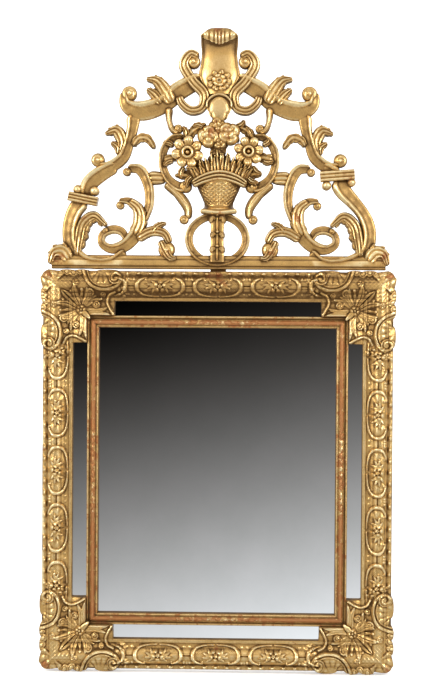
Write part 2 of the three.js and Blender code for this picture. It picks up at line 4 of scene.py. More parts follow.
import bpy
import numpy as np
from mathutils import Euler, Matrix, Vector

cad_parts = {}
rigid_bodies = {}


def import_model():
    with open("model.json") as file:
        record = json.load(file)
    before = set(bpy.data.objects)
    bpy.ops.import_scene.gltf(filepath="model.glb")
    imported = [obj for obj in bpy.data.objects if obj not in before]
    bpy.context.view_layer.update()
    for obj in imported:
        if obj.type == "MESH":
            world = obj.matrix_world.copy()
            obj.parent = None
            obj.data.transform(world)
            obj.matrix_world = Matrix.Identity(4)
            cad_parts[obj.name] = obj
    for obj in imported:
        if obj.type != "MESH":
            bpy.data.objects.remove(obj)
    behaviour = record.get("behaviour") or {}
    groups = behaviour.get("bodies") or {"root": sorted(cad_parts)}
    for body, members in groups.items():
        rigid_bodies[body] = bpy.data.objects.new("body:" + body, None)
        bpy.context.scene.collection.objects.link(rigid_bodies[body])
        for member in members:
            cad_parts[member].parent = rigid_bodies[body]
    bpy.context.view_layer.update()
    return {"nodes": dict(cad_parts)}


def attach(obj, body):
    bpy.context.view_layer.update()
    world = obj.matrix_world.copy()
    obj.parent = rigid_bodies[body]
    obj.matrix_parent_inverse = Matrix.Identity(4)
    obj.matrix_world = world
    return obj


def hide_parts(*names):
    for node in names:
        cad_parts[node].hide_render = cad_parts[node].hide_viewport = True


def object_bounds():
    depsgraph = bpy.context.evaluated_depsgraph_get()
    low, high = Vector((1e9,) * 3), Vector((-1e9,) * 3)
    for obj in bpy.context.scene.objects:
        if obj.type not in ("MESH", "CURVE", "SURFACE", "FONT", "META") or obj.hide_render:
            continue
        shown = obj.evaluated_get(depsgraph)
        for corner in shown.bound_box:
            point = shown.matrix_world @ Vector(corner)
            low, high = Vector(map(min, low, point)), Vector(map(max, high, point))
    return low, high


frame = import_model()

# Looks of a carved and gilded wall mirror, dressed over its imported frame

# Sizes are in millimetres and become metres when a mesh is made. Heights on the crest are measured up
# from the top of the frame, and depths forwards from the wall.
MM = 0.001
FRAME_WIDTH = 650
FRAME_HEIGHT = 741
RAIL_WIDTH = 56
BORDER_WIDTH = 27
REBATE_WIDTH = 8
MITRE_GAP = 0.3
FIT = 0.3
PLATE_FRONT = 13.3
INNER_WIDTH = 22
INNER_DEPTH = 14
CREST_GAP = 4
TENON_HALF = 14.5
TENON_DEPTH = 12
TENON_LENGTH = 15
FRAME_TOP = RAIL_WIDTH / 2
FRAME_MIDDLE = FRAME_TOP - FRAME_HEIGHT / 2
POCKET_DEPTH = PLATE_FRONT + FIT
INNER_FRONT = POCKET_DEPTH + INNER_DEPTH
CORNER_REACH = 134
CARTOUCHE_PITCH = 107
TIP_ROUND = 15
FLOWER_DEPTH = 38
SCROLL_DEPTH = 24
STALK_DEPTH = 1.02 * SCROLL_DEPTH
BAND_DEPTH = 1.05 * SCROLL_DEPTH
PEARL_DEPTH = 1.1 * SCROLL_DEPTH
VOLUTE_DEPTH = 1.12 * SCROLL_DEPTH
LEAF_DEPTH = 1.14 * SCROLL_DEPTH
CLASP_DEPTH = 1.18 * SCROLL_DEPTH
# Share of a carved band's width that its flat back has
BACK_SHARE = 0.94


# Small helpers on arrays

def smooth(value):
    t = np.clip(value, 0, 1)
    return t * t * (3 - 2 * t)


def bump(value, centre, half):
    """1 at the centre, falling to 0 at the half width."""
    return smooth(1 - np.abs(value - centre) / half)


def ridge(distance, half, height):
    """A rounded ridge over the line where the distance is 0."""
    return height * np.clip(1 - (distance / half) ** 2, 0, None) ** 0.7


def dome(distance, radius, height):
    return height * np.sqrt(np.clip(1 - (distance / radius) ** 2, 0, None))


def wander(a, b, scale, seed):
    """A soft uneven surface between -1 and 1, made of a few waves."""
    total = 0
    for k in range(4):
        turn = seed * 1.7 + k * 2.4
        along = a * math.cos(turn) + b * math.sin(turn)
        total = total + np.sin(along * (2 * math.pi / scale) * (0.8 + 0.23 * k) + seed * (k + 1.3))
    return total / 4


def curve(points, step, loop=False):
    """Rows of numbers along a smooth curve through the points, about one step apart in the first two."""
    given = np.asarray(points, float)
    if len(given) == 2 and not loop:
        given = np.vstack([given[0], given.mean(0), given[1]])
    if loop:
        knots = np.vstack([given[-1], given, given[0], given[1]])
    else:
        knots = np.vstack([2 * given[0] - given[1], given, 2 * given[-1] - given[-2]])
    rows = []
    for p0, p1, p2, p3 in zip(knots, knots[1:], knots[2:], knots[3:]):
        gap = [max(np.linalg.norm(b[:2] - a[:2]), 1e-6) ** 0.5 for a, b in ((p0, p1), (p1, p2), (p2, p3))]
        t0, t1 = 0, gap[0]
        t2, t3 = t1 + gap[1], t1 + gap[1] + gap[2]
        t = np.linspace(t1, t2, 24, endpoint=False)[:, None]
        a1 = (t1 - t) / (t1 - t0) * p0 + (t - t0) / (t1 - t0) * p1
        a2 = (t2 - t) / (t2 - t1) * p1 + (t - t1) / (t2 - t1) * p2
        a3 = (t3 - t) / (t3 - t2) * p2 + (t - t2) / (t3 - t2) * p3
        b1 = (t2 - t) / (t2 - t0) * a1 + (t - t0) / (t2 - t0) * a2
        b2 = (t3 - t) / (t3 - t1) * a2 + (t - t1) / (t3 - t1) * a3
        rows.append((t2 - t) / (t2 - t1) * b1 + (t - t1) / (t2 - t1) * b2)
    rows.append(given[:1] if loop else given[-1:])
    fine = np.vstack(rows)
    way = np.concatenate([[0], np.cumsum(np.linalg.norm(np.diff(fine[:, :2], axis=0), axis=1))])
    count = max(int(round(way[-1] / step)), 3)
    at = np.linspace(0, way[-1], count + 1)[:count if loop else None]
    return np.stack([np.interp(at, way, column) for column in fine.T], 1)


def distance_to(points, x, z):
    """Distance of each place (x, z) from a curve through the points."""
    nearest = np.full(x.shape, np.inf)
    for px, pz in curve(points, 1.5)[:, :2]:
        np.minimum(nearest, (x - px) ** 2 + (z - pz) ** 2, out=nearest)
    return np.sqrt(nearest)


# Closed shells of points and faces

def grid_faces(rows, columns, close=False, first=0):
    """Quads over rows by columns of points, joined round the columns if close."""
    i = first + np.arange(rows - 1)[:, None] * columns
    j = np.arange(columns if close else columns - 1)[None, :]
    k = (j + 1) % columns
    return np.stack([i + j, i + k, i + k + columns, i + j + columns], -1).reshape(-1, 4)


def fan_faces(ring, centre):
    ring = np.asarray(ring)
    return np.stack([ring, np.roll(ring, -1), np.full(len(ring), centre)], 1)


def outward(points, quads, tris):
    """The same shell with its faces pointing out."""
    faces = np.vstack([quads[:, [0, 1, 2]], quads[:, [0, 2, 3]], tris]).astype(int)
    a, b, c = (points[faces[:, k]] for k in range(3))
    if np.einsum("ij,ij->i", a, np.cross(b, c)).sum() < 0:
        quads, tris = quads[:, ::-1], tris[:, ::-1]
    return points, quads, tris


def tube(rings, loop=False):
    """A closed shell through rings of points, shaped (rings, points in a ring, 3)."""
    count, size = rings.shape[:2]
    points = rings.reshape(-1, 3)
    if loop:
        quads = grid_faces(count, size, close=True)
        last = (count - 1) * size
        j = np.arange(size)
        k = (j + 1) % size
        quads = np.vstack([quads, np.stack([last + j, last + k, k, j], -1)])
        return outward(points, quads, np.zeros((0, 3), int))
    quads = grid_faces(count, size, close=True)
    centres = np.vstack([rings[0].mean(0), rings[-1].mean(0)])
    start = np.arange(size)
    tris = np.vstack([
        fan_faces(start[::-1], len(points)), fan_faces((count - 1) * size + start, len(points) + 1),
    ])
    return outward(np.vstack([points, centres]), quads, tris)


def sweep(points, section, depth=SCROLL_DEPTH, step=1.5, across=17, loop=False, blunt=(False, False), back=0):
    """A carved band along a curve through [x, z, width] points, with its flat side at the back depth. The
    section gives the height, as a share of the depth, and the share of the width, at a place across (-1 to 1)
    and along. An end is round unless it's blunt."""
    path = curve(points, step, loop)
    if loop:
        ahead, behind = np.roll(path, -1, 0), np.roll(path, 1, 0)
        tangent = (ahead - behind)[:, :2]
    else:
        tangent = np.gradient(path[:, :2], axis=0)
    tangent /= np.linalg.norm(tangent, axis=1)[:, None]
    normal = np.stack([-tangent[:, 1], tangent[:, 0]], 1)
    moves = np.linalg.norm(np.diff(path[:, :2], axis=0), axis=1)
    along = np.concatenate([[0], np.cumsum(moves)])
    total = along[-1]
    half = path[:, 2] / 2
    round_off = np.ones(len(path))
    if not loop:
        for end, distance in ((0, along), (1, total - along)):
            if not blunt[end]:
                reach = max(half[-end] * 0.9, 1.5)
                round_off *= np.sqrt(np.clip(1 - (1 - np.clip(distance / reach, 0.02, 1)) ** 2, 0, 1))
    u = np.linspace(-1, 1, across)
    height, spread = section(u[None, :], along[:, None], total)
    height = np.broadcast_to(height, (len(path), across))
    spread = np.broadcast_to(spread, (len(path), across))
    reach = half[:, None] * spread * round_off[:, None]
    lift = back + (depth - back) * height * (0.35 + 0.65 * round_off[:, None])
    x = path[:, 0, None] + normal[:, 0, None] * u * reach
    z = path[:, 1, None] + normal[:, 1, None] * u * reach
    front = np.stack([x, -lift, FRAME_TOP + z], -1)
    edges = []
    for side in (1, -1):
        column = -1 if side > 0 else 0
        bx = path[:, 0] + normal[:, 0] * side * reach[:, column] * BACK_SHARE
        bz = path[:, 1] + normal[:, 1] * side * reach[:, column] * BACK_SHARE
        edges.append(np.stack([bx, np.full(len(path), -float(back)), FRAME_TOP + bz], -1)[:, None])
    return tube(np.concatenate([front, *edges], 1), loop)


# Cross-sections of the carving

SCROLL_EDGE = [-1, -0.94, -0.8, -0.3, 0.12, 0.2, 0.34, 0.6, 0.84, 0.95, 1]
SCROLL_LEVEL = [0.38, 0.56, 0.64, 0.67, 0.74, 0.68, 0.88, 1.0, 0.9, 0.66, 0.42]


def scroll(side=1):
    """A flat slope up to a raised ridge on one side."""
    def section(u, along, total):
        height = np.interp(u * side, SCROLL_EDGE, SCROLL_LEVEL)
        uneven = 0.015 * np.sin(along * 0.31) * np.cos(u * 2)
        return height + uneven, 1
    return section


def leaf(veins=3, lobe=17.0, notch=0.16, slant=0.5):
    """A leaf with soft veins that follow its length, and a lobed edge."""
    def section(u, along, total):
        scallop = np.abs(np.sin(math.pi * (along - slant * lobe * np.abs(u)) / lobe)) ** 0.7
        fold = np.cos(math.pi * veins * u + 0.25 * np.sin(along / lobe * math.pi))
        height = 0.5 + 0.38 * np.sqrt(np.clip(1 - 0.9 * u * u, 0, 1)) + 0.075 * fold
        height = height - 0.06 * (1 - scallop) * np.abs(u) - 0.06 * np.exp(-(u / 0.1) ** 2)
        return height, 1 - notch * (1 - scallop) * (np.abs(u) > 0.3)
    return section


def curled(u, along, total):
    """A small leaf that is low at its edges, high along its rib and rises to its tip."""
    height = 0.42 + 0.48 * np.sqrt(np.clip(1 - u * u, 0, 1)) - 0.07 * np.exp(-(u / 0.16) ** 2)
    return height * (0.86 + 0.16 * along / total), 1


def acanthus(points, depth, lobes=4, first=0.1, last=0.72, hands=(1, -1), reach=1.0):
    """A leaf whose side leaves spring from its rib, on the sides that the hands name, and curl over."""
    shells = [sweep(points, leaf(3, 40, 0.05), depth, 1.3, 19)]
    path = curve(points, 1.0)
    for k in range(lobes):
        share = first + (last - first) * k / max(lobes - 1, 1)
        i = int(share * (len(path) - 2)) + 1
        x, z, width = path[i]
        ahead = path[i + 1, :2] - path[i - 1, :2]
        heading = math.atan2(ahead[1], ahead[0])
        for hand in hands:
            out, over = heading + hand * 0.9, heading + hand * 0.25
            size = width * (0.7 - 0.18 * share) * reach
            spring = [x - math.cos(out) * 2, z - math.sin(out) * 2, 0.55 * size]
            middle = [x + math.cos(out) * 0.55 * size, z + math.sin(out) * 0.55 * size, 0.62 * size]
            tip_x = middle[0] + math.cos(over) * 0.6 * size
            tip_z = middle[1] + math.sin(over) * 0.6 * size
            lobe = [spring, middle, [tip_x, tip_z, 0.24 * size]]
            shells.append(sweep(lobe, curled, depth * (0.92 + 0.03 * (k % 2)), 1.3, 13))
    return shells


def plain(edge=0.62, crown=1.0):
    """A plain rounded bar."""
    def section(u, along, total):
        return edge + (crown - edge) * np.sqrt(np.clip(1 - u * u, 0, 1)), 1
    return section


def disc(x, z, radius, relief, tall=1.0, rings=18, sectors=56):
    """A round shell with a flat back. From the share of the radius and the angle, the relief gives the depth
    and how far out the place lies, as a share of its own."""
    share = np.linspace(1, 0.04, rings)[:, None]
    angle = np.linspace(0, 2 * math.pi, sectors, endpoint=False)[None, :]
    depth, reach = relief(share, angle)
    depth = np.broadcast_to(depth, (rings, sectors))
    reach = radius * share * np.broadcast_to(reach, (rings, sectors))
    front = np.stack([x + reach * np.cos(angle), -depth, FRAME_TOP + z + tall * reach * np.sin(angle)], -1)
    back = front[:1].copy()
    back[..., 0] = x + (back[..., 0] - x) * BACK_SHARE
    back[..., 2] = FRAME_TOP + z + (back[..., 2] - FRAME_TOP - z) * BACK_SHARE
    back[..., 1] = 0
    return tube(np.concatenate([back, front]))


def volute(x, z, radius, hand, start):
    """The snail end of a scroll: a ridge that winds in to an eye."""
    def relief(share, angle):
        wind = np.mod(share * 1.6 - hand * (angle - start) / (2 * math.pi), 1)
        rib = np.sin(math.pi * wind) ** 0.5
        eye = dome(share, 0.3, 0.1)
        rim = np.sqrt(np.clip(1 - share ** 6, 0, 1))
        return VOLUTE_DEPTH * (0.66 + 0.06 * rib + 0.18 * (1 - share) + eye - 0.26 * (1 - rim)), 1
    return disc(x, z, radius, relief, rings=16, sectors=40)


def pearl(x, z, radius, depth):
    def relief(share, angle):
        return depth * (0.5 + 0.5 * np.sqrt(np.clip(1 - share ** 2, 0, 1))), 1
    return disc(x, z, radius, relief, rings=9, sectors=24)


def flower(x, z, radius, petals, depth=FLOWER_DEPTH, turn=0.0, eye=0.3, inner=0, tall=1.0, rim=0.17):
    """Cupped petals, a smaller ring of them if asked for, and an eye with a raised rim."""
    def relief(share, angle):
        a = angle + turn
        petal = np.abs(np.cos(petals * a / 2)) ** 0.6
        level = 0.60 + 0.10 * (1 - share) + 0.17 * petal * bump(share, 0.8, 0.45)
        level = level + 0.018 * np.cos(petals * a * 3) * bump(share, 0.7, 0.35)
        if inner:
            bud = np.abs(np.cos(inner * a / 2 + 0.7)) ** 0.6
            inside = smooth((0.58 + 0.08 * bud - share) / 0.06)
            level = level * (1 - inside) + inside * (0.76 + 0.14 * bud * bump(share, 0.46, 0.28))
        ring = rim * np.clip(1 - ((share - eye) / 0.09) ** 2, 0, None) ** 0.5
        pit = dome(share, eye * 0.5, 0.14) - 0.1 * smooth((eye * 0.8 - share) / 0.06)
        return depth * (level + ring + pit), 1 - 0.3 * (1 - petal) * smooth((share - 0.45) / 0.4)
    return disc(x, z, radius, relief, tall, rings=24, sectors=max(14 * petals, 84))


def bloom(x, z, radius, depth, turn):
    """A half-open flower: broad petals folded over one another round a closed heart."""
    def relief(share, angle):
        level = 0.62 + 0.3 * np.sqrt(np.clip(1 - 0.9 * share ** 2, 0, 1))
        for count, edge, lift in ((4, 0.92, 0.09), (3, 0.5, 0.10)):
            a = angle + turn + 1.1 * count
            petal = np.abs(np.cos(count * a / 2)) ** 0.5
            level = level + lift * petal * bump(share, edge - 0.16, 0.3)
            level = level - 0.08 * (1 - petal) * bump(share, edge, 0.35)
        return depth * (level - 0.06), 1 - 0.16 * (1 - np.abs(np.cos(2 * (angle + turn + 4.4))) ** 0.5)
    return disc(x, z, radius, relief, rings=24, sectors=84)


# Crest, in millimetres outwards from its axis and up from the top of the frame: [x, z, width]

SCROLLS = {
    "shoulder": ([[30, 359, 28], [72, 337, 33], [108, 309, 33], [148, 298, 34], [173, 309, 23],
                  [179, 333, 12]], 1),
    "stem": ([[159, 292, 27], [162, 262, 20], [168, 238, 19], [179, 211, 21], [201, 195, 20],
              [224, 194, 13]], 1),
    "big_c": ([[170, 191, 14], [148, 189, 18], [132, 162, 18], [129, 126, 16], [140, 92, 14]], -1),
    "kidney": ([[65, 250, 10], [85, 247, 13], [102, 226, 14], [104, 196, 14], [94, 172, 15], [75, 157, 19],
                [60, 157, 20]], 1),
}
LOOP = [[171, 60, 12], [181, 74, 16], [199, 77, 17], [216, 67, 15], [217, 52, 15], [202, 42, 18],
        [178, 46, 24], [157, 65, 26], [146, 92, 27], [150, 116, 22], [167, 130, 15], [186, 131, 9]]
EAR = [[38, 397, 12], [53, 403, 13], [66, 384, 16], [49, 352, 16], [28, 327, 16], [33, 303, 14],
       [52, 298, 14], [69, 310, 13], [75, 325, 11]]
# Plain leafy bands: points, veins, length of a lobe
BANDS = {
    "sprig": ([[160, 232, 10], [150, 245, 16], [135, 247, 17], [119, 228, 10]], 2, 12),
    "link": ([[134, 172, 25], [118, 173, 27], [97, 172, 25]], 3, 60),
    "neck": ([[93, 304, 16], [93, 282, 13], [87, 264, 13], [75, 255, 12]], 1, 60),
    "tail": ([[100, 163, 14], [71, 138, 20], [57, 115, 17], [57, 97, 14]], 1, 60),
}
# Acanthus: points, number of side leaves, where the first and the last spring
LEAVES = {
    "branch": ([[152, 60, 20], [124, 74, 20], [101, 70, 18], [90, 52, 14]], 3, 0.2, 0.6),
    "shoulder_leaf": ([[88, 310, 24], [101, 334, 28], [117, 353, 20], [136, 356, 7]], 4, 0.05, 0.7),
    "shoulder_lobe": ([[106, 310, 22], [121, 328, 19], [135, 338, 7]], 3, 0.15, 0.7),
    "stem_leaf": ([[184, 220, 10], [180, 240, 22], [191, 260, 22], [212, 254, 6]], 4, 0.2, 0.75),
    "stem_lobe": ([[188, 216, 8], [188, 229, 16], [201, 239, 6]], 3, 0.3, 0.75),
    "foot_leaf": ([[262, 28, 12], [259, 58, 20], [251, 88, 22], [232, 102, 19], [208, 84, 9]],
                  6, 0.12, 0.85),
    "branch_curl": ([[108, 58, 14], [98, 38, 18], [88, 25, 13], [77, 24, 5]], 2, 0.3, 0.7),
    "branch_leaf": ([[126, 68, 16], [112, 84, 14], [97, 90, 6]], 3, 0.2, 0.7),
    "end_leaf": ([[276, 18, 26], [290, 36, 28], [305, 34, 20], [314, 12, 10]], 4, 0.1, 0.8),
}
# [x, z, radius, hand of the winding, where it starts]
VOLUTES = [
    [167, 329, 14.5, 1, 1.6], [225, 206, 13, -1, 4.0], [183, 122, 8, -1, 2.5], [171, 184, 8, 1, 2.0],
    [96, 40, 16, 1, 0.5], [61, 157, 12, -1, 0.0], [76, 264, 9, 1, 4.5], [64, 96, 9, -1, 1.0],
    [48, 388, 13, -1, 1.5], [210, 75, 6, 1, 0.0], [247, 64, 6, -1, 0.0],
]
LEFT_SCROLLS = {
    "arch": ([[190, 197, 24], [218, 182, 28], [240, 163, 29], [248, 138, 29]], 1),
    "foot": ([[251, 134, 31], [269, 109, 28], [278, 74, 25], [272, 40, 24], [246, 18, 22], [200, 17, 19],
              [173, 37, 13]], -1),
}
LEFT_CLASP = [[279, 139, 17], [225, 128, 17]]
LEFT_PEARLS = [[262, 151, 9], [231, 148, 9]]
RIGHT_SCROLLS = {
    "arch": ([[190, 196, 22], [206, 187, 28], [220, 174, 33]], 1),
    "foot": ([[221, 174, 34], [230, 152, 30], [248, 132, 25], [264, 113, 23], [275, 93, 24], [280, 67, 24],
              [272, 36, 24], [241, 18, 22], [194, 17, 19], [171, 38, 13]], -1),
}
RIGHT_CLASP = [[188, 176, 19], [251, 181, 19]]
RIGHT_PEARLS = [[200, 160, 9], [246, 166, 8]]
# What one side has of its own
OWN = {-1: (LEFT_SCROLLS, LEFT_CLASP, LEFT_PEARLS), 1: (RIGHT_SCROLLS, RIGHT_CLASP, RIGHT_PEARLS)}


def mirrored(points, side):
    return [[side * row[0], *row[1:]] for row in points]


def crest_side(side):
    """The scrolls, leaves, volutes and pearls of one side, -1 for the left and 1 for the right."""
    scrolls, clasp, pearls = OWN[side]

    def widened(points, share):
        return mirrored([[x, z, share * width] for x, z, width in points], side)

    shells = []
    for points, ridge_side in [*SCROLLS.values(), *scrolls.values()]:
        shells.append(sweep(widened(points, 1.08), scroll(side * ridge_side)))
    shells.append(sweep(mirrored(LOOP, side), scroll(-side)))
    shells += acanthus(mirrored(LOOP[7:11], side), PEARL_DEPTH, 5, 0.05, 0.85, hands=(side, -side))
    shells.append(sweep(widened(EAR, 1.25), double_ridge, BAND_DEPTH, 1.5, 25))
    for points, veins, lobe in BANDS.values():
        shells.append(sweep(mirrored(points, side), leaf(veins, lobe), BAND_DEPTH, 1.4, 21))
    for name, (points, lobes, first, last) in LEAVES.items():
        # The leaf at the foot has broad side leaves, on its inner side alone
        hands, reach = ((side,), 1.6) if name == "foot_leaf" else ((1, -1), 1.0)
        shells += acanthus(mirrored(points, side), LEAF_DEPTH, lobes + 1, first, last, hands, reach)
    shells.append(sweep(mirrored(clasp, side), reeded, CLASP_DEPTH, blunt=(True, True)))
    for x, z, radius, hand, start in VOLUTES:
        turn = start if side > 0 else math.pi - start
        shells.append(volute(side * x, z, radius, side * hand, turn))
    shells += [pearl(side * x, z, radius, PEARL_DEPTH) for x, z, radius in pearls]
    return shells


def double_ridge(u, along, total):
    """A band with a raised rim along both sides."""
    height = 0.55 + 0.3 * np.sqrt(np.clip(1 - u ** 6, 0, 1))
    height = height + ridge(np.abs(u) - 0.7, 0.22, 0.12) + ridge(u, 0.3, 0.1)
    return height - 0.02, 1


def reeded(u, along, total):
    """A clasp of parallel rolls."""
    return 0.78 + 0.16 * np.abs(np.cos(1.5 * math.pi * u)) ** 0.6, 1


# Top of the crest

PANEL = [[0, 328, 48], [0, 345, 62], [0, 364, 76], [0, 382, 70], [0, 402, 66], [0, 426, 69], [0, 439, 66],
         [0, 445, 52]]
# Small arch over the shield
ARCH = [[-23, 302, 4], [-22, 313, 4], [-13, 323, 5], [0, 327, 5], [13, 323, 5], [22, 313, 4], [23, 302, 4]]
ROSETTE_Z = 352
ROSETTE_TALL = 0.86
HOOD_TOP = 448
HOOD_RIM = 432
HOOD_HALF = 34.5
# Where the lines of the hood's ribs would meet
RIBS_MEET_Z = 408


def panel_section(u, along, total):
    """A soft swelling with a thin rim at both edges, which sinks to a hollow under the hood."""
    cove = smooth((along - 0.35 * total) / (0.5 * total))
    rim = ridge(np.abs(u) - 0.95, 0.06, 0.06)
    return 1.0 - 0.4 * u * u + rim - cove * (0.16 - 0.1 * u * u), 1


def hood():
    """The ribbed shell that overhangs the panel: it hangs lowest at its middle, where its ribs meet."""
    rows, columns = 30, 91
    u = np.linspace(-1, 1, columns)[None, :]
    v = np.linspace(0, 1, rows)[:, None]
    high = HOOD_TOP - 12 * np.abs(u) ** 4.5
    low = HOOD_RIM - 15 * (1 - np.abs(u) ** 1.3)
    half = HOOD_HALF - 4 * smooth((v - 0.6) / 0.4)
    x = half * u
    focus = np.arctan2(x, 0.5 * (high + low) - RIBS_MEET_Z)
    rib = np.abs(np.cos(focus * 13)) ** 0.6
    low = low + 3.0 * (1 - rib[:1]) * (np.abs(u) < 0.95)
    z = low + (high - low) * v
    swell = np.sin(math.pi * (0.12 + 0.8 * v)) ** 0.6
    depth = 24 + 11 * swell + 4.4 * rib * bump(v, 0.4, 0.8) - 5 * np.abs(u) ** 4
    front = np.stack([x, -depth, FRAME_TOP + z], -1)
    back = front.copy()[:, ::-1]
    back[..., 1] = 0
    return tube(np.concatenate([front, back[:, [0, -1]]], 1))


def shield():
    """The drop below the rosette, broad above and pointed below, on a plate with a lobed edge."""
    def drop(share, angle):
        below = smooth(-2.5 * np.sin(angle))
        taper = 1 - 0.2 * (1 - np.abs(np.sin(angle)) ** 3) * below
        swell = np.sqrt(np.clip(1 - (share / 0.92) ** 2, 0, 1))
        return 30 * (0.82 + 0.12 * swell), taper

    def plate(share, angle):
        below = smooth(-2.5 * np.sin(angle))
        taper = 1 - 0.16 * (1 - np.abs(np.sin(angle)) ** 3) * below
        lobes = 0.07 * np.abs(np.sin(angle * 5.5)) * below
        return 24 * (0.86 + 0.08 * np.sqrt(np.clip(1 - share ** 4, 0, 1))), taper + lobes

    return [disc(0, 298, 18, drop, tall=1.34, rings=24, sectors=64), disc(0, 302, 23, plate, 1.12, 16, 88)]


def top_cartouche():
    """The panel under its hood, with a rosette, and the shield below it under a small arch."""
    shells = [
        sweep(PANEL, panel_section, 26, across=45, blunt=(True, True)),
        hood(),
        flower(0, ROSETTE_Z, 22, 9, eye=0.16, inner=6, tall=ROSETTE_TALL, rim=0.04),
        flower(0, ROSETTE_Z, 11, 5, 42, turn=0.6, eye=0.3, rim=0.05),
        *shield(),
        sweep(ARCH, plain(0.8, 1.0), 28, 1.2, 11),
        sweep([[0, 338, 44], [0, 318, 44], [0, 298, 40], [0, 282, 20]], plain(0.7, 0.8), 24,
              blunt=(True, True)),
        pearl(0, 275, 5, 26),
    ]
    for k in range(8):
        turn = (k + 0.5) * math.pi / 4
        x, z = math.cos(turn), ROSETTE_TALL * math.sin(turn)
        curl = [[out * x - over * z, ROSETTE_Z + out * z + over * x, width]
                for out, over, width in ((11, 0, 8), (17, 2, 12), (22, 6, 5))]
        shells.append(sweep(curl, curled, 37, 1.0, 11))
    return shells


# Basket of flowers

STALKS = [
    [[-2, 170, 46], [-2, 205, 40], [-2, 235, 20]],
    [[-18, 176, 20], [-38, 200, 22], [-56, 214, 20]],
    [[14, 176, 20], [36, 200, 22], [54, 216, 20]],
    [[-6, 225, 20], [-18, 250, 18]],
    [[4, 225, 20], [16, 258, 18]],
    [[68, 214, 20], [102, 207, 18]],
    [[-80, 212, 16], [-104, 206, 16]],
    [[-62, 244, 18], [-46, 262, 18], [-24, 274, 8]],
    [[64, 246, 18], [50, 262, 18], [30, 268, 8]],
    [[-35, 166, 18], [-58, 177, 22], [-82, 178, 6]],
    [[40, 166, 18], [62, 180, 22], [80, 180, 6]],
]
# Leaves between the flowers: [x, z, heading, length, depth]
FLOWER_LEAVES = [
    [-48, 176, 3.9, 24, 34], [-42, 186, 2.6, 20, 33], [52, 174, -0.7, 24, 34], [46, 186, 0.5, 20, 33],
    [-62, 246, 1.5, 24, 26], [-84, 232, 2.6, 22, 25], [-84, 206, 3.4, 22, 25], [-64, 194, 4.2, 24, 27],
    [-40, 194, 4.6, 22, 30], [-34, 236, 0.9, 22, 33], [58, 248, 1.7, 22, 26], [80, 234, 0.5, 22, 25],
    [80, 206, -0.3, 22, 25], [62, 196, -1.0, 24, 27], [40, 194, -1.5, 22, 30], [36, 240, 2.2, 20, 33],
    [0, 236, 1.6, 18, 35], [30, 268, 0.3, 22, 28], [-28, 266, 2.7, 22, 28],
]
# Outline of the basket, upwards: [z, radius]
BASKET = [[108, 33], [112, 34.5], [116, 33], [118, 29.5], [121, 27], [127, 27.5], [140, 33], [150, 38],
          [160, 42], [172, 43]]


def basket():
    """The woven half-round body."""
    z = np.linspace(BASKET[0][0], BASKET[-1][0], 56)
    radius = np.interp(z, *np.array(BASKET).T)
    angle = np.linspace(0, math.pi, 74)
    weave_a = np.abs(np.sin(angle[None, :] * 11 + z[:, None] * 0.45))
    weave_b = np.abs(np.sin(angle[None, :] * 11 - z[:, None] * 0.45))
    woven = bump(z, 143, 21)[:, None] > 0.02
    weave = 2.2 * np.maximum(weave_a, weave_b) ** 6 * woven * np.sin(angle)[None, :] ** 0.3
    reach = radius[:, None] + weave - 1.2 * woven
    x = -reach * np.cos(angle)[None, :]
    y = -0.88 * reach * np.sin(angle)[None, :]
    return tube(np.stack([x, y, FRAME_TOP + z[:, None] + 0 * x], -1))


def bouquet():
    """The basket with its rim and foot, the sheaf in it, the flowers and the leaves round them."""
    shells = [basket()]
    rim = [[-49, 160, 12], [-26, 171, 18], [2, 177, 20], [30, 171, 18], [52, 159, 12]]
    shells.append(sweep(rim, reeded, 42, 1.2, 25))
    shells.append(sweep([[-34, 112, 9], [0, 109, 9], [34, 112, 9]], plain(), 36))
    for points in STALKS:
        shells.append(sweep(points, leaf(2, 13, 0.22), STALK_DEPTH, 1.4, 17, blunt=(True, False)))
    shells += [flower(-58, 220, 30, 7, turn=0.3), flower(55, 222, 28, 7, turn=0.75)]
    shells += [bloom(-19, 249, 21, 39, 0.4), bloom(18, 254, 22, 40, 1.3), bloom(-3, 268, 17, 34, 0.2),
               bloom(1, 238, 13, 36, 0.9)]
    # Blades that stand up from the basket in three close rows, in front of the sheaf
    for row in (0, 1, 2):
        for k in range(14 + row):
            share = (k - 6.5 - 0.5 * row) / 7.5
            x, z = 3 + 44 * share, 184 - 16 * share * share
            length = 12 + 16 * (1 - abs(share)) + 5.5 * row + 4 * math.sin(2.6 * k + row)
            lean = 13 * share + 3 * math.sin(1.9 * k + 2 * row)
            stalk = [[x, z - 6, 8], [x + lean * 0.4, z + length * 0.45, 9.5], [x + lean, z + length, 3]]
            shells.append(sweep(stalk, leaf(1, 30, 0), 39 - 3 * row, 1.2, 9, blunt=(True, False)))
    for x, z, turn, length, depth in FLOWER_LEAVES:
        middle = [x + 0.5 * length * math.cos(turn), z + 0.5 * length * math.sin(turn), 13]
        tip = [x + length * math.cos(turn + 0.3), z + length * math.sin(turn + 0.3), 5]
        shells += acanthus([[x, z, 9], middle, tip], depth, 2, 0.3, 0.6)
    return shells


# Oval ring, chute of husks and foot

RING = {"x": -2, "z": 60, "half_x": 53, "half_z": 44}
# Moulding of the foot: [y, z]
FOOT = [[0, 4], [-17.5, 4], [-19, 5.5], [-19, 7.5], [-18, 8.5], [-18, 9.5], [-20, 11], [-20, 19.5],
        [-19, 20.5], [-18.6, 22], [-19.6, 23.5], [-19, 26], [-16, 29], [-12, 30], [0, 30]]
FOOT_HALF = 310


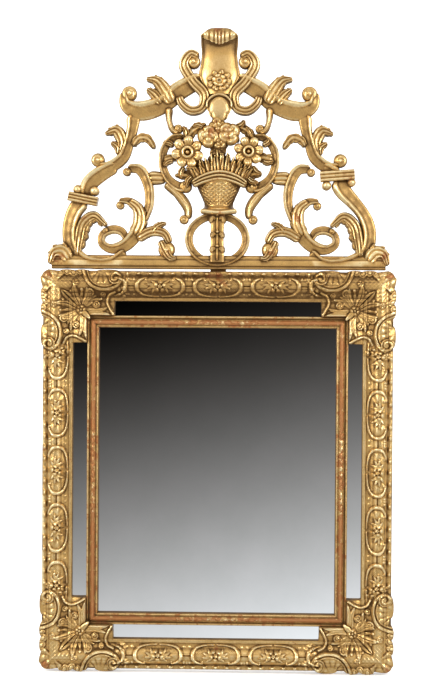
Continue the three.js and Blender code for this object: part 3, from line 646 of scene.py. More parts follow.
def ring_and_chute():
    """The ring, and the stem through it with three husks, each of a bead, a blade and two petals."""
    path = [[RING["x"] + RING["half_x"] * math.cos(a), RING["z"] + RING["half_z"] * math.sin(a), 15]
            for a in np.linspace(0, 2 * math.pi, 16, endpoint=False)]
    stem = [[-1, 114, 27], [-2, 70, 24], [-2, 18, 26]]
    shells = [sweep(path, scroll(-1), loop=True), sweep(stem, plain(0.8, 0.92), 26, blunt=(True, True))]
    for z, radius in [[93, 20], [64, 16], [37, 17]]:
        x = RING["x"]
        shells.append(pearl(x, z + 0.6 * radius, 3.6, 31))
        shells.append(sweep([[x, z + 0.45 * radius, 6], [x, z - 0.3 * radius, 9], [x, z - radius, 4]],
                            leaf(1, 30, 0), 31, 1.0, 13))
        for side in (-1, 1):
            petal = [[x + side * 2, z + 0.1 * radius, 8], [x + side * 0.42 * radius, z + 0.35 * radius, 13],
                     [x + side * 0.62 * radius, z - 0.2 * radius, 10]]
            shells.append(sweep(petal, leaf(1, 30, 0), 30, 1.0, 13))
    return shells


def foot_and_tenon():
    """The moulded bar that carries the scrolls, and the block between it and the frame."""
    profile = np.array(FOOT, float)
    x = np.linspace(-FOOT_HALF, FOOT_HALF, 311)
    sag = 0.25 * wander(x, 0 * x, 60, 3)
    rings = np.stack([
        np.stack([np.full(len(profile), at), profile[:, 0] + (profile[:, 0] < -1) * dip,
                  FRAME_TOP + profile[:, 1]], -1)
        for at, dip in zip(x, sag)
    ])
    levels = [FRAME_TOP - TENON_LENGTH, FRAME_TOP, FRAME_TOP + CREST_GAP, FRAME_TOP + 2 * CREST_GAP]
    return [tube(rings), upright_block(TENON_HALF, 0, -TENON_DEPTH, levels)]


def upright_block(half_x, back, front, levels):
    """A square block round the middle of the frame, between two depths, through these levels."""
    ring = np.array([[-half_x, back], [-half_x, front], [half_x, front], [half_x, back]])
    return tube(np.stack([np.column_stack([ring, np.full(4, level)]) for level in levels]))


# Outer rails

# The rail's section, inwards from its outer edge: [across, depth]
MOULDING = [[-1, 18], [0, 20], [1.5, 22.6], [4, 23.4], [7.2, 23.2], [8.6, 22.6], [10, 23.4], [12, 26.5],
            [16, 30.5], [22, 33], [27, 32.6], [31, 31], [35, 27.6], [41, 22.6], [46, 21.2], [49, 21],
            [50.2, 22.6], [54.6, 22.8], [56, 21.2], [57, 21]]
CARTOUCHE_HALF = 43
CARTOUCHE_WIDE = 18.5
CARTOUCHE_MIDDLE = 28.5


def in_corner(run):
    return smooth((CORNER_REACH + 14 - run) / 28)


def rail_base(run, across):
    """The moulding's depth, swelling to a cushion that covers the border at the corners."""
    moulding = np.interp(across, *np.array(MOULDING).T)
    border = smooth((across - RAIL_WIDTH + 7) / 20) * (INNER_FRONT - MOULDING[-1][1])
    cushion = 5 * bump(across, RAIL_WIDTH * 0.55, RAIL_WIDTH * 0.5) + 3.2 * bump(across, 9, 7)
    return moulding + (cushion + border) * in_corner(run)


def row_relief(along, across):
    """Cartouches of two C-scrolls that meet at a leafy knot, with a sunk stem between one and the next.
    Places are measured along (o) and across (b) from the middle of the nearest cartouche."""
    number = np.round(along / CARTOUCHE_PITCH)
    o = along - number * CARTOUCHE_PITCH
    b = across - CARTOUCHE_MIDDLE
    share = (np.abs(o / CARTOUCHE_HALF) ** 2.6 + np.abs(b / CARTOUCHE_WIDE) ** 2.6) ** (1 / 2.6)
    inside = smooth((0.93 - share) / 0.06)
    edge = (share - 1) * 19
    open_side = 1 - bump(o, 0, 5) * (b > 0) - smooth((27 - np.abs(o)) / 5) * (b < -2)
    relief = ridge(edge, 1.8, 3.6) * open_side - ridge(edge + 3.0, 1.6, 1.5) - ridge(edge - 2.7, 1.3, 0.7)
    relief = relief + ridge(np.hypot(np.abs(o) - 25, b + 13.5), 3.2, 3.4)
    # The knot in the middle, with leaves that lean out of it both ways
    angle, radius = np.arctan2(b, o), np.hypot(o, 0.9 * b)
    petals = np.abs(np.cos(2.5 * angle + 0.6)) ** 0.8
    relief = np.maximum(relief, 4.4 * bump(radius, 6, 8.5) * petals)
    relief = relief + dome(radius, 3.6, 2.6) - 1.5 * ridge(radius - 4.6, 1.2, 1)
    for side in (-1, 1):
        for lean, size in ((-0.9, 15), (-0.25, 19), (0.4, 17), (1.05, 13)):
            tip = (side * (8 + size * math.cos(lean)), 14 * math.sin(lean))
            leaf_up = blade(o, b, (side * 6, 0), tip, 2.6, 3.4, 1.5 * side)
            relief = np.maximum(relief, leaf_up * inside)
    # Flutes in the ends of every second cartouche, and crossing lines in the others
    far = np.hypot(np.abs(o) - 16, b)
    flutes = np.abs(np.cos(4.5 * np.arctan2(b, np.abs(o) - 16)))
    lines = np.minimum(np.abs(np.sin((o + b) * 0.85)), np.abs(np.sin((o - b) * 0.85)))
    ends = inside * smooth((np.abs(o) - 20) / 4)
    crossing = -0.7 * smooth(1 - lines / 0.5)
    relief = relief + ends * np.where(number % 2 == 0, crossing, 0.9 * flutes * bump(far, 14, 12))
    # Stem, dots and a small leaf at the outer edge between two cartouches
    gap = np.abs(np.abs(o) - CARTOUCHE_PITCH / 2)
    relief = relief - 2.0 * np.clip(1 - ((b + 1.0) / 1.4) ** 2, 0, 1) * (gap < 7.5)
    relief = relief + ridge(np.hypot(gap - 5, b - 14), 2.4, 1.2) + ridge(np.hypot(gap - 5, b + 14), 3.0, 1.6)
    return relief + 2.2 * bump(b, -15, 6) * np.abs(np.cos(gap * 0.5)) * bump(gap, 0, 12)


def blade(a, b, start, end, half, height, bend=0.0):
    """A carved leaf blade between two places, with a sunk line along its middle."""
    along_a, along_b = end[0] - start[0], end[1] - start[1]
    length = math.hypot(along_a, along_b)
    t = np.clip(((a - start[0]) * along_a + (b - start[1]) * along_b) / length ** 2, -0.2, 1.2)
    off = ((a - start[0]) * along_b - (b - start[1]) * along_a) / length
    off = off - bend * np.sin(math.pi * np.clip(t, 0, 1))
    width = half * np.sin(math.pi * np.clip(t, 0.001, 0.999) ** 0.8) ** 0.7 + 0.01
    body = np.clip(1 - (off / width) ** 2, 0, 1) ** 0.6 * (t > 0) * (t < 1)
    return body * (height * (0.6 + 0.4 * t) - 0.3 * height * np.exp(-(off / 0.9) ** 2))


# Blades of the palmette: [angle from the mitre, length, half width, bend]
PALMETTE = [[0, 52, 9, 0], [0.55, 50, 7.6, 5], [1.05, 43, 6.6, -4], [1.5, 33, 4.6, 3]]
# Leaves over the end of the border: [start, tip, half width, bend]
BORDER_LEAVES = [
    [(80, 80), (127, 82), 4.6, 3], [(80, 72), (122, 68), 5.4, -4], [(82, 64), (112, 52), 4.8, 3],
    [(84, 58), (100, 46), 3.6, 2],
]
# The corner's scrolls, and their flat spirals: [along, across, radius, height]
OUTER_C = [[76, 1], [81, 14], [91, 27], [106, 34], [124, 34], [139, 27], [147, 16]]
INNER_C = [[131, 80], [124, 68], [120, 56], [124, 45], [134, 40]]
SPIRALS = [[135, 13, 12.5, 6.6], [100, 62, 7.5, 6.4], [88, 40, 8.5, 5.4], [112, 44, 6, 4.6]]
# Lobes at the outer edge, and small flowers: [along, across, size]
LOBES = [[33, 4, 8], [46, 3, 7], [58, 4, 8], [70, 3, 6]]
FLOWERS = [[148, 40, 12], [156, 14, 9], [62, 22, 7]]
TIP = 22
HINGE = 72


def corner_relief(run, across):
    """The corner's palmette, which opens from its hinge towards the tip between two C-scrolls, with leaves,
    flowers and netting. The two rails of a corner share it, so half of it is drawn, up to the mitre."""
    relief = np.zeros(run.shape)

    def raise_to(height):
        np.maximum(relief, height, out=relief)

    def away(at, level):
        return np.hypot(run - at, across - level)

    def petals(at, level):
        return np.abs(np.cos(2.5 * np.arctan2(across - level, run - at))) ** 0.7

    from_hinge = away(HINGE, HINGE)

    # Netting on the ground towards the tip
    net = np.minimum(np.abs(np.sin((run + across) * 0.42)), np.abs(np.sin((run - across) * 0.42)))
    ground = smooth((from_hinge - 44) / 4) * smooth((98 - run) / 6) * (across > 8)
    raise_to(0.8 * smooth(1 - net / 0.4) * ground)

    # Palmette: flame-like blades that fan out from the hinge, with smaller ones between their tips
    def on_fan(heading, length):
        return HINGE - length * math.cos(heading), HINGE - length * math.sin(heading)

    for angle, length, half, bend in PALMETTE:
        heading = math.pi / 4 + angle
        start = on_fan(heading, 9)
        raise_to(blade(run, across, start, on_fan(heading, length), half, 6.8, bend))
        between_tip = on_fan(heading + 0.27, 0.74 * length)
        raise_to(blade(run, across, start, between_tip, 3.6, 4.2))
        raise_to(dome(away(*between_tip), 3.2, 4.6))

    # C-scroll with a second thin line, and gadroons inside it
    from_c = distance_to(OUTER_C, run, across)
    sector = away(110, 4)
    flutes = np.abs(np.sin(np.arctan2(across + 5, run - 108) * 7)) ** 0.6
    raise_to(3.2 * flutes * bump(sector, 15, 13) * (across > 3))
    raise_to(ridge(from_c, 3.2, 6.0) - 1.6 * ridge(from_c, 0.9, 1))
    raise_to(ridge(from_c - 6.4, 1.3, 2.6) * (sector < 32))

    # Leaves that cover the end of the border, up to a thin scroll across it
    for start, tip, half, bend in BORDER_LEAVES:
        raise_to(blade(run, across, start, tip, half, 5.6, bend))
    raise_to(ridge(distance_to(INNER_C, run, across), 2.8, 5.4))
    for spiral in SPIRALS:
        raise_to(scroll_end(run, across, *spiral))

    # Hinge, ribbed tip, edge lobes and small flowers
    raise_to(7.2 * bump(from_hinge, 5.5, 6.5) * (0.4 + 0.6 * petals(HINGE, HINGE)))
    raise_to(dome(from_hinge, 3.0, 7.4))
    tip_ribs = np.abs(np.cos((np.arctan2(TIP - across, TIP - run) - math.pi / 4) * 4)) ** 0.6
    raise_to((2.5 + 3.4 * tip_ribs) * bump(away(TIP, TIP), 17, 13) * (run + across < 46))
    for at, level, size in LOBES:
        from_lobe = np.hypot(run - at, 1.1 * (across - level))
        raise_to(dome(from_lobe, size, 5.2) - 2 * ridge(from_lobe - 0.55 * size, 1.2, 1))
    for at, level, size in FLOWERS:
        far = away(at, level)
        raise_to(5.0 * bump(far, size * 0.5, size * 0.6) * (0.3 + 0.7 * petals(at, level)))
        raise_to(dome(far, size * 0.3, 5.4))
    return relief


def scroll_end(run, across, at, level, radius, height):
    """A flat spiral with a button in its middle."""
    far = np.hypot(run - at, across - level)
    wind = np.mod(far / (0.5 * radius) - np.arctan2(across - level, run - at) / (2 * math.pi), 1)
    spiral = height * (0.4 + 0.6 * np.sin(math.pi * wind) ** 0.6) * smooth((radius - far) / 1.5)
    return np.maximum(spiral, dome(far, 0.3 * radius, height))


class Map:
    """Heights on a fine grid, read at any place between its points."""

    def __init__(self, relief, size_a, size_b, cell):
        self.cell = cell
        a, b = np.arange(0, size_a + cell, cell), np.arange(0, size_b + cell, cell)
        self.values = relief(*np.meshgrid(a, b, indexing="ij"))

    def __call__(self, a, b):
        i = np.clip(a / self.cell, 0, self.values.shape[0] - 1.001)
        j = np.clip(b / self.cell, 0, self.values.shape[1] - 1.001)
        i0, j0 = i.astype(int), j.astype(int)
        fi, fj = i - i0, j - j0
        v = self.values
        near = v[i0, j0] * (1 - fj) + v[i0, j0 + 1] * fj
        far = v[i0 + 1, j0] * (1 - fj) + v[i0 + 1, j0 + 1] * fj
        return near * (1 - fi) + far * fi


CORNER_MAP = Map(corner_relief, 172, 90, 0.5)
# Quarter turns from the top rail to each side, and how far the outer edge swells there
QUARTERS = {"top": 0, "right": 1, "bottom": 2, "left": 3}
EDGE_WAVES = {"top": 2.5, "right": 5, "bottom": 5.5, "left": 4.5}
# Swellings of the outer edge near a corner: [along from the corner, half length]
EDGE_LOBES = [[46, 14], [73, 13], [120, 20]]
# Fineness of the carved grid
CELL = 1.15


def edge_bulge(run, level, wave_height):
    """How far the outer edge swells: as much on both rails at the mitre, then more on the side rails."""
    tip = 3 * bump(run, 6, 26) if level else 3 * bump(run, 0, 12) + 5 * bump(run, 17, 22)
    wave = np.max([dome(run - middle, half, 1) for middle, half in EDGE_LOBES], axis=0)
    at_mitre = 3 * bump(run, 0, 14)
    return np.maximum(np.maximum(tip, at_mitre), wave * wave_height)


def placed(x, y, z, side):
    """Points of a piece drawn at the top, turned by quarter turns to its own side of the frame."""
    cross = FRAME_HEIGHT if side in ("top", "bottom") else FRAME_WIDTH
    z = z + cross / 2
    turns = QUARTERS[side]
    cos, sin = [1, 0, -1, 0][turns], [0, 1, 0, -1][turns]
    return np.stack([x * cos + z * sin, y + 0 * x, FRAME_MIDDLE - x * sin + z * cos], -1)


def outer_rail(side):
    """A carved rail from mitre to mitre, with half of a corner piece at either end."""
    level = side in ("top", "bottom")
    length = FRAME_WIDTH if level else FRAME_HEIGHT
    seed = 3 + QUARTERS[side]
    half = length / 2
    field = np.concatenate([np.linspace(0, 10, 11), np.arange(10 + CELL, 49, CELL), [49]])
    border_share = np.linspace(0, 1, 27)[1:]
    corner_share = np.linspace(0, 1, int(CORNER_REACH / CELL))
    straight = np.linspace(half - CORNER_REACH, 0, int((half - CORNER_REACH) / CELL))[1:]

    def column(share):
        """Places along and across of one column of points of the corner, the mitre's at share 0."""
        reach_at = CORNER_REACH * share
        width = RAIL_WIDTH + (BORDER_WIDTH - FIT) * smooth((CORNER_REACH - 0.6 - reach_at) / 2.4)
        rows = np.concatenate([field, field[-1] + (width - field[-1]) * border_share])
        mitre = rows + MITRE_GAP / math.sqrt(2)
        return mitre + (CORNER_REACH - mitre) * share, rows

    runs, rows = zip(*[column(share) for share in corner_share])
    flat_rows = np.concatenate([field, field[-1] + (RAIL_WIDTH - field[-1]) * border_share])
    runs = [*runs, *[np.full(len(flat_rows), half - s) for s in straight]]
    rows = [*rows, *[flat_rows for _ in straight]]
    run, row = np.array(runs), np.array(rows)
    x = np.concatenate([run - half, (half - run)[::-1][1:]])
    run = np.concatenate([run, run[::-1][1:]])
    row = np.concatenate([row, row[::-1][1:]])

    depth = rail_base(run, row)
    plain_zone = 1 - in_corner(run)
    row_part = 1.25 * row_relief(x, row) * plain_zone * smooth((row - 9) / 3)
    corner_part = CORNER_MAP(run, row) * smooth((170 - run) / 10)
    beads = 5.2 * bump(np.mod(x + 10.5, 21), 10.5, 6.4) * bump(row, 4.6, 5) * plain_zone
    uneven = 0.25 * wander(x, row, 19, seed) + 0.15 * wander(x, row, 7, seed + 5)
    depth = depth + row_part + corner_part + beads + uneven
    near_edge = smooth(1 - row / 12)
    across = row - near_edge * edge_bulge(run, level, EDGE_WAVES[side])
    # The bulge moves the mitre outwards too, so the two rails of a corner still meet there
    from_mitre = np.clip((run - row) / (CORNER_REACH - row), 0, 1)
    x = x + np.sign(x) * (row - across) * (1 - from_mitre)
    # The very tip is round
    out_x, out_z = np.clip(np.abs(x) - half + TIP_ROUND, 0, None), np.clip(TIP_ROUND - across, 0, None)
    reach = TIP_ROUND + 3 + 9 * smooth(1 - out_x / 7)
    pull = np.minimum(1, reach / np.maximum(np.hypot(out_x, out_z), 1e-6))
    x = x - np.sign(x) * out_x * (1 - pull)
    across = across + out_z * (1 - pull)
    sag = 0.25 * wander(x, 0 * x, 130, seed) * smooth(run / 60)
    front = placed(x, -depth, -across + sag * smooth(1 - row / 30), side)

    # The back: the rebate's wall and step, and the flat that lies against the wall
    pocket = placed(x[:, -1:], -POCKET_DEPTH, -row[:, -1:], side)
    inset = RAIL_WIDTH - REBATE_WIDTH
    step_x = np.clip(x[:, :1], inset - half, half - inset)
    step_in = placed(step_x, -POCKET_DEPTH, -inset, side)
    step_out = placed(step_x, 0, -inset, side)
    back = placed(x[:, :1], 0, -across[:, :1], side)
    rings = np.concatenate([front, pocket, step_in, step_out, back], 1)
    shells = [tube(rings)]
    if level:
        shells += [corner_husk(side, sign) for sign in (-1, 1)]
    return shells


def corner_husk(side, sign):
    """A small leaf that reaches over the corner of the inner frame."""
    x, z = FRAME_WIDTH / 2, FRAME_HEIGHT / 2
    up = 1 if side == "top" else -1
    path = [[sign * (x - inset), FRAME_MIDDLE - FRAME_TOP + up * (z - inset), width]
            for inset, width in ((74, 8), (80, 10), (89, 3.5))]
    return sweep(path, curled, 35, 1.0, 17, back=INNER_FRONT + 0.4)


# Inner frame

# The inner rail's section, inwards: [share of its width, share of its depth]
INNER_PROFILE = [[0, 0.56], [0.03, 0.66], [0.08, 0.7], [0.14, 0.67], [0.19, 0.56], [0.25, 0.56],
                 [0.36, 0.78], [0.46, 0.95], [0.54, 1.0], [0.62, 0.97], [0.7, 0.86], [0.75, 0.72],
                 [0.8, 0.68], [0.84, 0.74], [0.9, 0.72], [0.96, 0.58], [1, 0.46]]


def inner_rail(side):
    """A moulded rail of the inner frame, with a leafy strap round the middle of its length."""
    level = side in ("top", "bottom")
    outer = RAIL_WIDTH + BORDER_WIDTH
    length = (FRAME_WIDTH if level else FRAME_HEIGHT) - 2 * outer
    half = length / 2
    seed = 11 + QUARTERS[side]
    share = np.linspace(0, 1, 33)
    along = np.linspace(-1, 1, int(length / 1.7))
    limit = half - share * INNER_WIDTH - MITRE_GAP / math.sqrt(2)
    x = along[:, None] * limit[None, :]
    s = share[None, :] + 0 * x
    depth = INNER_DEPTH * np.interp(s, *np.array(INNER_PROFILE).T)
    strap = smooth((82 - np.abs(x)) / 10)
    across = s * INNER_WIDTH
    leafy = np.abs(np.sin(np.abs(x) * 0.26 - 0.16 * np.abs(across - 11))) ** 0.7
    leafy = leafy - 0.6 * ridge(across - 11 - 2.4 * np.sin(x * 0.26), 0.9, 1)
    depth = depth + strap * (1.5 * leafy - 0.9) * bump(s, 0.5, 0.34) + 0.15 * wander(x, across, 23, seed)
    front = placed(x, -POCKET_DEPTH - depth, -outer - across, side)
    foot_in = placed(x[:, -1:], -POCKET_DEPTH, -outer - INNER_WIDTH, side)
    foot_out = placed(x[:, :1], -POCKET_DEPTH, -outer, side)
    return [tube(np.concatenate([front, foot_in, foot_out], 1))]


# Meshes

def mesh_of(name, shells):
    """One mesh of several closed shells, in metres."""
    points, quads, tris, first = [], [], [], 0
    for shell_points, shell_quads, shell_tris in shells:
        points.append(shell_points)
        quads.append(shell_quads + first)
        tris.append(shell_tris + first)
        first += len(shell_points)
    points, quads, tris = np.vstack(points) * MM, np.vstack(quads), np.vstack(tris)
    mesh = bpy.data.meshes.new(name)
    mesh.vertices.add(len(points))
    mesh.vertices.foreach_set("co", points.astype(np.float32).ravel())
    corners = np.concatenate([quads.ravel(), tris.ravel()]).astype(np.int32)
    mesh.loops.add(len(corners))
    mesh.loops.foreach_set("vertex_index", corners)
    starts = np.concatenate([4 * np.arange(len(quads)), 4 * len(quads) + 3 * np.arange(len(tris))])
    mesh.polygons.add(len(starts))
    mesh.polygons.foreach_set("loop_start", starts.astype(np.int32))
    mesh.update(calc_edges=True)
    mesh.validate()
    return mesh


def linked(name, data):
    """A new object in the scene."""
    item = bpy.data.objects.new(name, data)
    bpy.context.scene.collection.objects.link(item)
    return item


def combine(piece, operation, **operands):
    """Joins other closed meshes to the piece, or cuts them out of it, for good."""
    modifier = piece.modifiers.new("combine", "BOOLEAN")
    modifier.operation = operation
    modifier.solver = "MANIFOLD"
    for key, value in operands.items():
        setattr(modifier, key, value)
    bpy.context.view_layer.update()
    whole = bpy.data.meshes.new_from_object(piece.evaluated_get(bpy.context.evaluated_depsgraph_get()))
    piece.modifiers.clear()
    piece.data = whole


def joined(name, shells):
    """The shells as one body, without the parts of each that lie inside another."""
    first = linked(name, mesh_of(name, shells[:1]))
    if len(shells) == 1:
        return first
    others = bpy.data.collections.new(name + "_shells")
    for number, shell in enumerate(shells[1:]):
        others.objects.link(bpy.data.objects.new(f"{name}_{number}", mesh_of(name, [shell])))
    combine(first, "UNION", operand_type="COLLECTION", collection=others)
    for other in list(others.objects):
        bpy.data.objects.remove(other)
    bpy.data.collections.remove(others)
    return first


def cut_mortise(rail):
    """The open-backed mortise that the crest's tenon stands in."""
    past = 2
    levels = [FRAME_TOP - TENON_LENGTH - FIT, FRAME_TOP + past]
    hollow = upright_block(TENON_HALF + FIT, past, -TENON_DEPTH - FIT, levels)
    cutter = linked("mortise", mesh_of("mortise", [hollow]))
    combine(rail, "DIFFERENCE", object=cutter)
    bpy.data.objects.remove(cutter)


pieces = []


def dress(piece, node):
    """The piece rides on the frame in place of the node."""
    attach(piece, "root")
    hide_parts(node)
    pieces.append(piece)


# Parts of the crest, each with its shells and how far its flat back lies in front of the wall
crest_groups = {
    "crest_scrolls_left": (crest_side(-1), 0.5),
    "crest_scrolls_right": (crest_side(1), 0.5),
    "crest_cartouche": (top_cartouche(), 0.9),
    "crest_bouquet": (bouquet(), 1.3),
    "crest_foot_and_ring": ([*foot_and_tenon(), *ring_and_chute()], 0),
}
for name, (shells, back) in crest_groups.items():
    for points, _, _ in shells:
        flat_back = points[:, 1] > -0.01
        points[flat_back, 1] = -back
    dress(joined(name, shells), "crest")
for side in QUARTERS:
    dress(joined(f"carved_rail_{side}", outer_rail(side)), f"frame_rail_{side}")
    dress(joined(f"moulded_rail_{side}", inner_rail(side)), f"inner_rail_{side}")
cut_mortise(bpy.data.objects["carved_rail_top"])


# Painted shade in the hollows and painted highlights on the high points, and the worn places, as numbers on
# each vertex that the materials read

def blurred(values, sigma):
    """A soft copy of a map."""
    frequency_a = np.fft.fftfreq(values.shape[0])[:, None]
    frequency_b = np.fft.rfftfreq(values.shape[1])[None, :]
    filter_ = np.exp(-2 * (math.pi * sigma) ** 2 * (frequency_a ** 2 + frequency_b ** 2))
    return np.fft.irfft2(np.fft.rfft2(values) * filter_, s=values.shape)


def points_of(piece):
    flat = np.empty(len(piece.data.vertices) * 3, np.float32)
    piece.data.vertices.foreach_get("co", flat)
    return flat.reshape(-1, 3) / MM


# How light each kind of piece is painted, and the shares of painted shade and highlight that the relief gives
# over a short, a middle and a long range
PAINT = {
    "carved": (0.57, (0.24, 0.32, 0.12)),
    "moulded": (0.55, (0.26, 0.38, 0.10)),
    "crest": (0.55, (0.16, 0.26, 0.18)),
}
# How far each range blurs the relief, and the rise over the blurred relief that counts as 1
RANGES = [(1.3, 1.2), (2.8, 3.0), (8.0, 10.0)]
GRID_MARGIN = 30


def local_shade(name, points):
    """How much painted light or painted shade a place of a piece gets beyond what its relief asks for."""
    x, z, depth = np.abs(points[:, 0]), points[:, 2] - FRAME_TOP, -points[:, 1]
    if name.startswith("carved"):
        # Painted shade: the leaf is darker along the top rail, most of all in its lower hollow
        upper = smooth((z + 88) / 22) * smooth((308 - x) / 22)
        return -upper * (0.22 + 0.12 * bump(z, -44, 16) * (x < 240)) - 0.02
    if name.startswith("moulded"):
        return 0 * x
    # On the crest the deep places get painted shade, and the fullest forms of each part painted highlights
    shade = -0.2 * smooth((SCROLL_DEPTH - 3.5 - depth) / 4)
    if name == "crest_bouquet":
        # Painted highlights on the middle blooms and over the basket's rim, and the upper part a touch darker
        return shade + (x < 50) * (0.14 * bump(z, 258, 30) + 0.11 * bump(z, 188, 28)) - 0.03 * (z > 150)
    if name == "crest_cartouche":
        # The panel has painted shade under the hood and along its edges, and the rosette and the shield
        # painted highlights
        shade = shade + 0.22 * bump(z, ROSETTE_Z, 30) + 0.1 * bump(z, 296, 26)
        return shade - 0.2 * bump(z, 413, 26) * (depth < 27) - 0.1 * bump(x, 33, 12)
    if name == "crest_foot_and_ring":
        # Painted shade on the stem and on the foot bar, and painted highlights on the parts that stand
        # furthest forward
        on_stem = (np.abs(points[:, 0] - RING["x"]) < 16) & (z > 20) & (z < 113) & (depth < 27)
        return shade - 0.06 * on_stem - 0.22 * (z < 30.5) + 0.14 * (depth > 27.5)
    # The scrolls: painted highlight on the end leaves, and painted shade over the outer scrolls
    return shade + 0.13 * (x > 272) * (z < 45) - 0.05 * (x > 215) * (z < 150)


def paint_shade_and_wear():
    """Writes on each vertex its painted light, shade in hollows and highlight on heights, and how much of the
    red ground shows there.
    """
    clouds = [points_of(piece) for piece in pieces]
    every = np.vstack(clouds)
    low = every.min(0) - GRID_MARGIN
    size = (every.max(0) - low + GRID_MARGIN).astype(int) + 1
    heights = np.full((size[0], size[2]), -1.0)
    for dx in (0, 1):
        for dz in (0, 1):
            i = (every[:, 0] - low[0]).astype(int) + dx
            j = (every[:, 2] - low[2]).astype(int) + dz
            np.maximum.at(heights, (i, j), -every[:, 1])
    there = (heights >= 0).astype(float)
    heights = np.where(there > 0, heights, 0)
    soft = [blurred(heights, reach) / np.maximum(blurred(there, reach), 0.02) for reach, _ in RANGES]
    for piece, points in zip(pieces, clouds):
        i = (points[:, 0] - low[0] + 0.5).astype(int)
        j = (points[:, 2] - low[2] + 0.5).astype(int)
        level, shares = PAINT[piece.name.split("_")[0]]
        for near, (_, rise), share in zip(soft, RANGES, shares):
            level = level + share * np.clip((-points[:, 1] - near[i, j]) / rise, -1.8, 1.2)
        level = level + local_shade(piece.name, points)
        # The height attribute holds this painted light level: painted shade in the hollows, painted
        # highlights on the heights
        for attribute, values in (("height", np.clip(level, 0, 1)), ("bole", bole_at(points, piece.name))):
            layer = piece.data.attributes.new(attribute, "FLOAT", "POINT")
            layer.data.foreach_set("value", values.astype(np.float32))


# Places where the red ground shows: [x, z, radius, strength]
WORN = [
    [0, 442, 30, 0.5], [0, 422, 12, 0.4], [-10, 262, 30, 0.6], [16, 255, 24, 0.6], [-98, 36, 20, 0.45],
    [96, 36, 20, 0.5], [-300, 20, 30, 0.5], [300, 20, 30, 0.7], [-147, 100, 18, 0.3], [147, 100, 22, 0.5],
    [240, 178, 30, 0.4], [-250, 134, 30, 0.3], [0, 170, 45, 0.3], [0, 112, 30, 0.35], [0, -8, 40, 0.5],
    [250, 100, 30, 0.25], [-250, 100, 30, 0.25], [-143, -689, 16, 0.5], [143, -689, 16, 0.4],
    [0, -700, 18, 0.4], [-320, -331, 12, 0.5], [-320, -395, 12, 0.5], [-274, -352, 11, 0.45],
    [318, -250, 12, 0.45], [276, -480, 11, 0.4],
]


def bole_at(points, name):
    """How much of the red ground shows: in the worn places, at the frame's tips and along the inner frame."""
    x, z = points[:, 0], points[:, 2] - FRAME_TOP
    amount = np.zeros(len(points))
    for px, pz, radius, strength in WORN:
        np.maximum(amount, strength * bump(np.hypot(x - px, z - pz), 0, radius), out=amount)
    tip_inset = 8
    tip_x, tip_z = FRAME_WIDTH / 2 - tip_inset, FRAME_HEIGHT / 2 - tip_inset
    from_tip = np.hypot(np.abs(x) - tip_x, np.abs(z + FRAME_HEIGHT / 2) - tip_z)
    np.maximum(amount, 0.9 * bump(from_tip, 0, 15), out=amount)
    if name.startswith("moulded"):
        along = np.where(np.abs(x) > 150, z + FRAME_HEIGHT / 2, x)
        strap = smooth((84 - np.abs(along)) / 14)
        on_round = bump(-points[:, 1], INNER_FRONT, 6)
        amount = np.maximum(amount, (0.74 - 0.2 * strap) * on_round + 0.1)
    return amount


paint_shade_and_wear()


# Materials

class Wiring:
    """A material's nodes, with short ways to add and join them."""

    def __init__(self, name):
        self.material = bpy.data.materials.new(name)
        self.material.use_nodes = True
        self.tree = self.material.node_tree
        self.shader = self.tree.nodes["Principled BSDF"]
        self.object_place = self.add("ShaderNodeTexCoord").outputs["Object"]

    def add(self, kind, **settings):
        node = self.tree.nodes.new(kind)
        for key, value in settings.items():
            setattr(node, key, value)
        return node

    def join(self, source, target):
        self.tree.links.new(source, target)

    def read(self, attribute):
        return self.add("ShaderNodeAttribute", attribute_name=attribute).outputs["Fac"]

    def noise(self, scale, detail=4.0, roughness=0.6, stretch=None):
        node = self.add("ShaderNodeTexNoise")
        node.inputs["Scale"].default_value = scale
        node.inputs["Detail"].default_value = detail
        node.inputs["Roughness"].default_value = roughness
        place = self.object_place
        if stretch:
            mapping = self.add("ShaderNodeMapping")
            mapping.inputs["Scale"].default_value = stretch
            self.join(place, mapping.inputs["Vector"])
            place = mapping.outputs["Vector"]
        self.join(place, node.inputs["Vector"])
        return node.outputs["Fac"]

    def math(self, operation, *values):
        node = self.add("ShaderNodeMath", operation=operation)
        for value, socket in zip(values, node.inputs):
            if isinstance(value, (int, float)):
                socket.default_value = value
            else:
                self.join(value, socket)
        return node.outputs["Value"]

    def ramp(self, value, stops):
        node = self.add("ShaderNodeValToRGB")
        elements = node.color_ramp.elements
        while len(elements) < len(stops):
            elements.new(0.5)
        for element, (at, colour) in zip(elements, stops):
            element.position = at
            element.color = (*colour, 1)
        self.join(value, node.inputs["Fac"])
        return node.outputs["Color"]

    def mix(self, share, a, b):
        node = self.add("ShaderNodeMix", data_type="RGBA")
        self.join(share, node.inputs["Factor"])
        for value, socket in ((a, node.inputs[6]), (b, node.inputs[7])):
            if isinstance(value, tuple):
                socket.default_value = (*value, 1)
            else:
                self.join(value, socket)
        return node.outputs[2]

    def spread(self, value, low, high, to_low, to_high):
        node = self.add("ShaderNodeMapRange")
        self.join(value, node.inputs["Value"])
        settings = {"From Min": low, "From Max": high, "To Min": to_low, "To Max": to_high}
        for socket, number in settings.items():
            node.inputs[socket].default_value = number
        return node.outputs["Result"]

    def bump(self, height, strength, distance):
        node = self.add("ShaderNodeBump")
        node.inputs["Strength"].default_value = strength
        node.inputs["Distance"].default_value = distance
        self.join(height, node.inputs["Height"])
        self.join(node.outputs["Normal"], self.shader.inputs["Normal"])


# Gold leaf in painted shade, in its own colour and in painted highlight, and the red ground likewise
CREVICE_SHADE = (0.085, 0.042, 0.014)
SHADE = (0.33, 0.195, 0.068)
GOLD = (0.60, 0.375, 0.130)
LIT_GOLD = (0.78, 0.56, 0.26)
HIGHLIGHT_GOLD = (0.96, 0.80, 0.46)
BOLE = (0.25, 0.078, 0.024)
SHADED_BOLE = (0.15, 0.050, 0.020)
LIT_BOLE = (0.36, 0.130, 0.038)


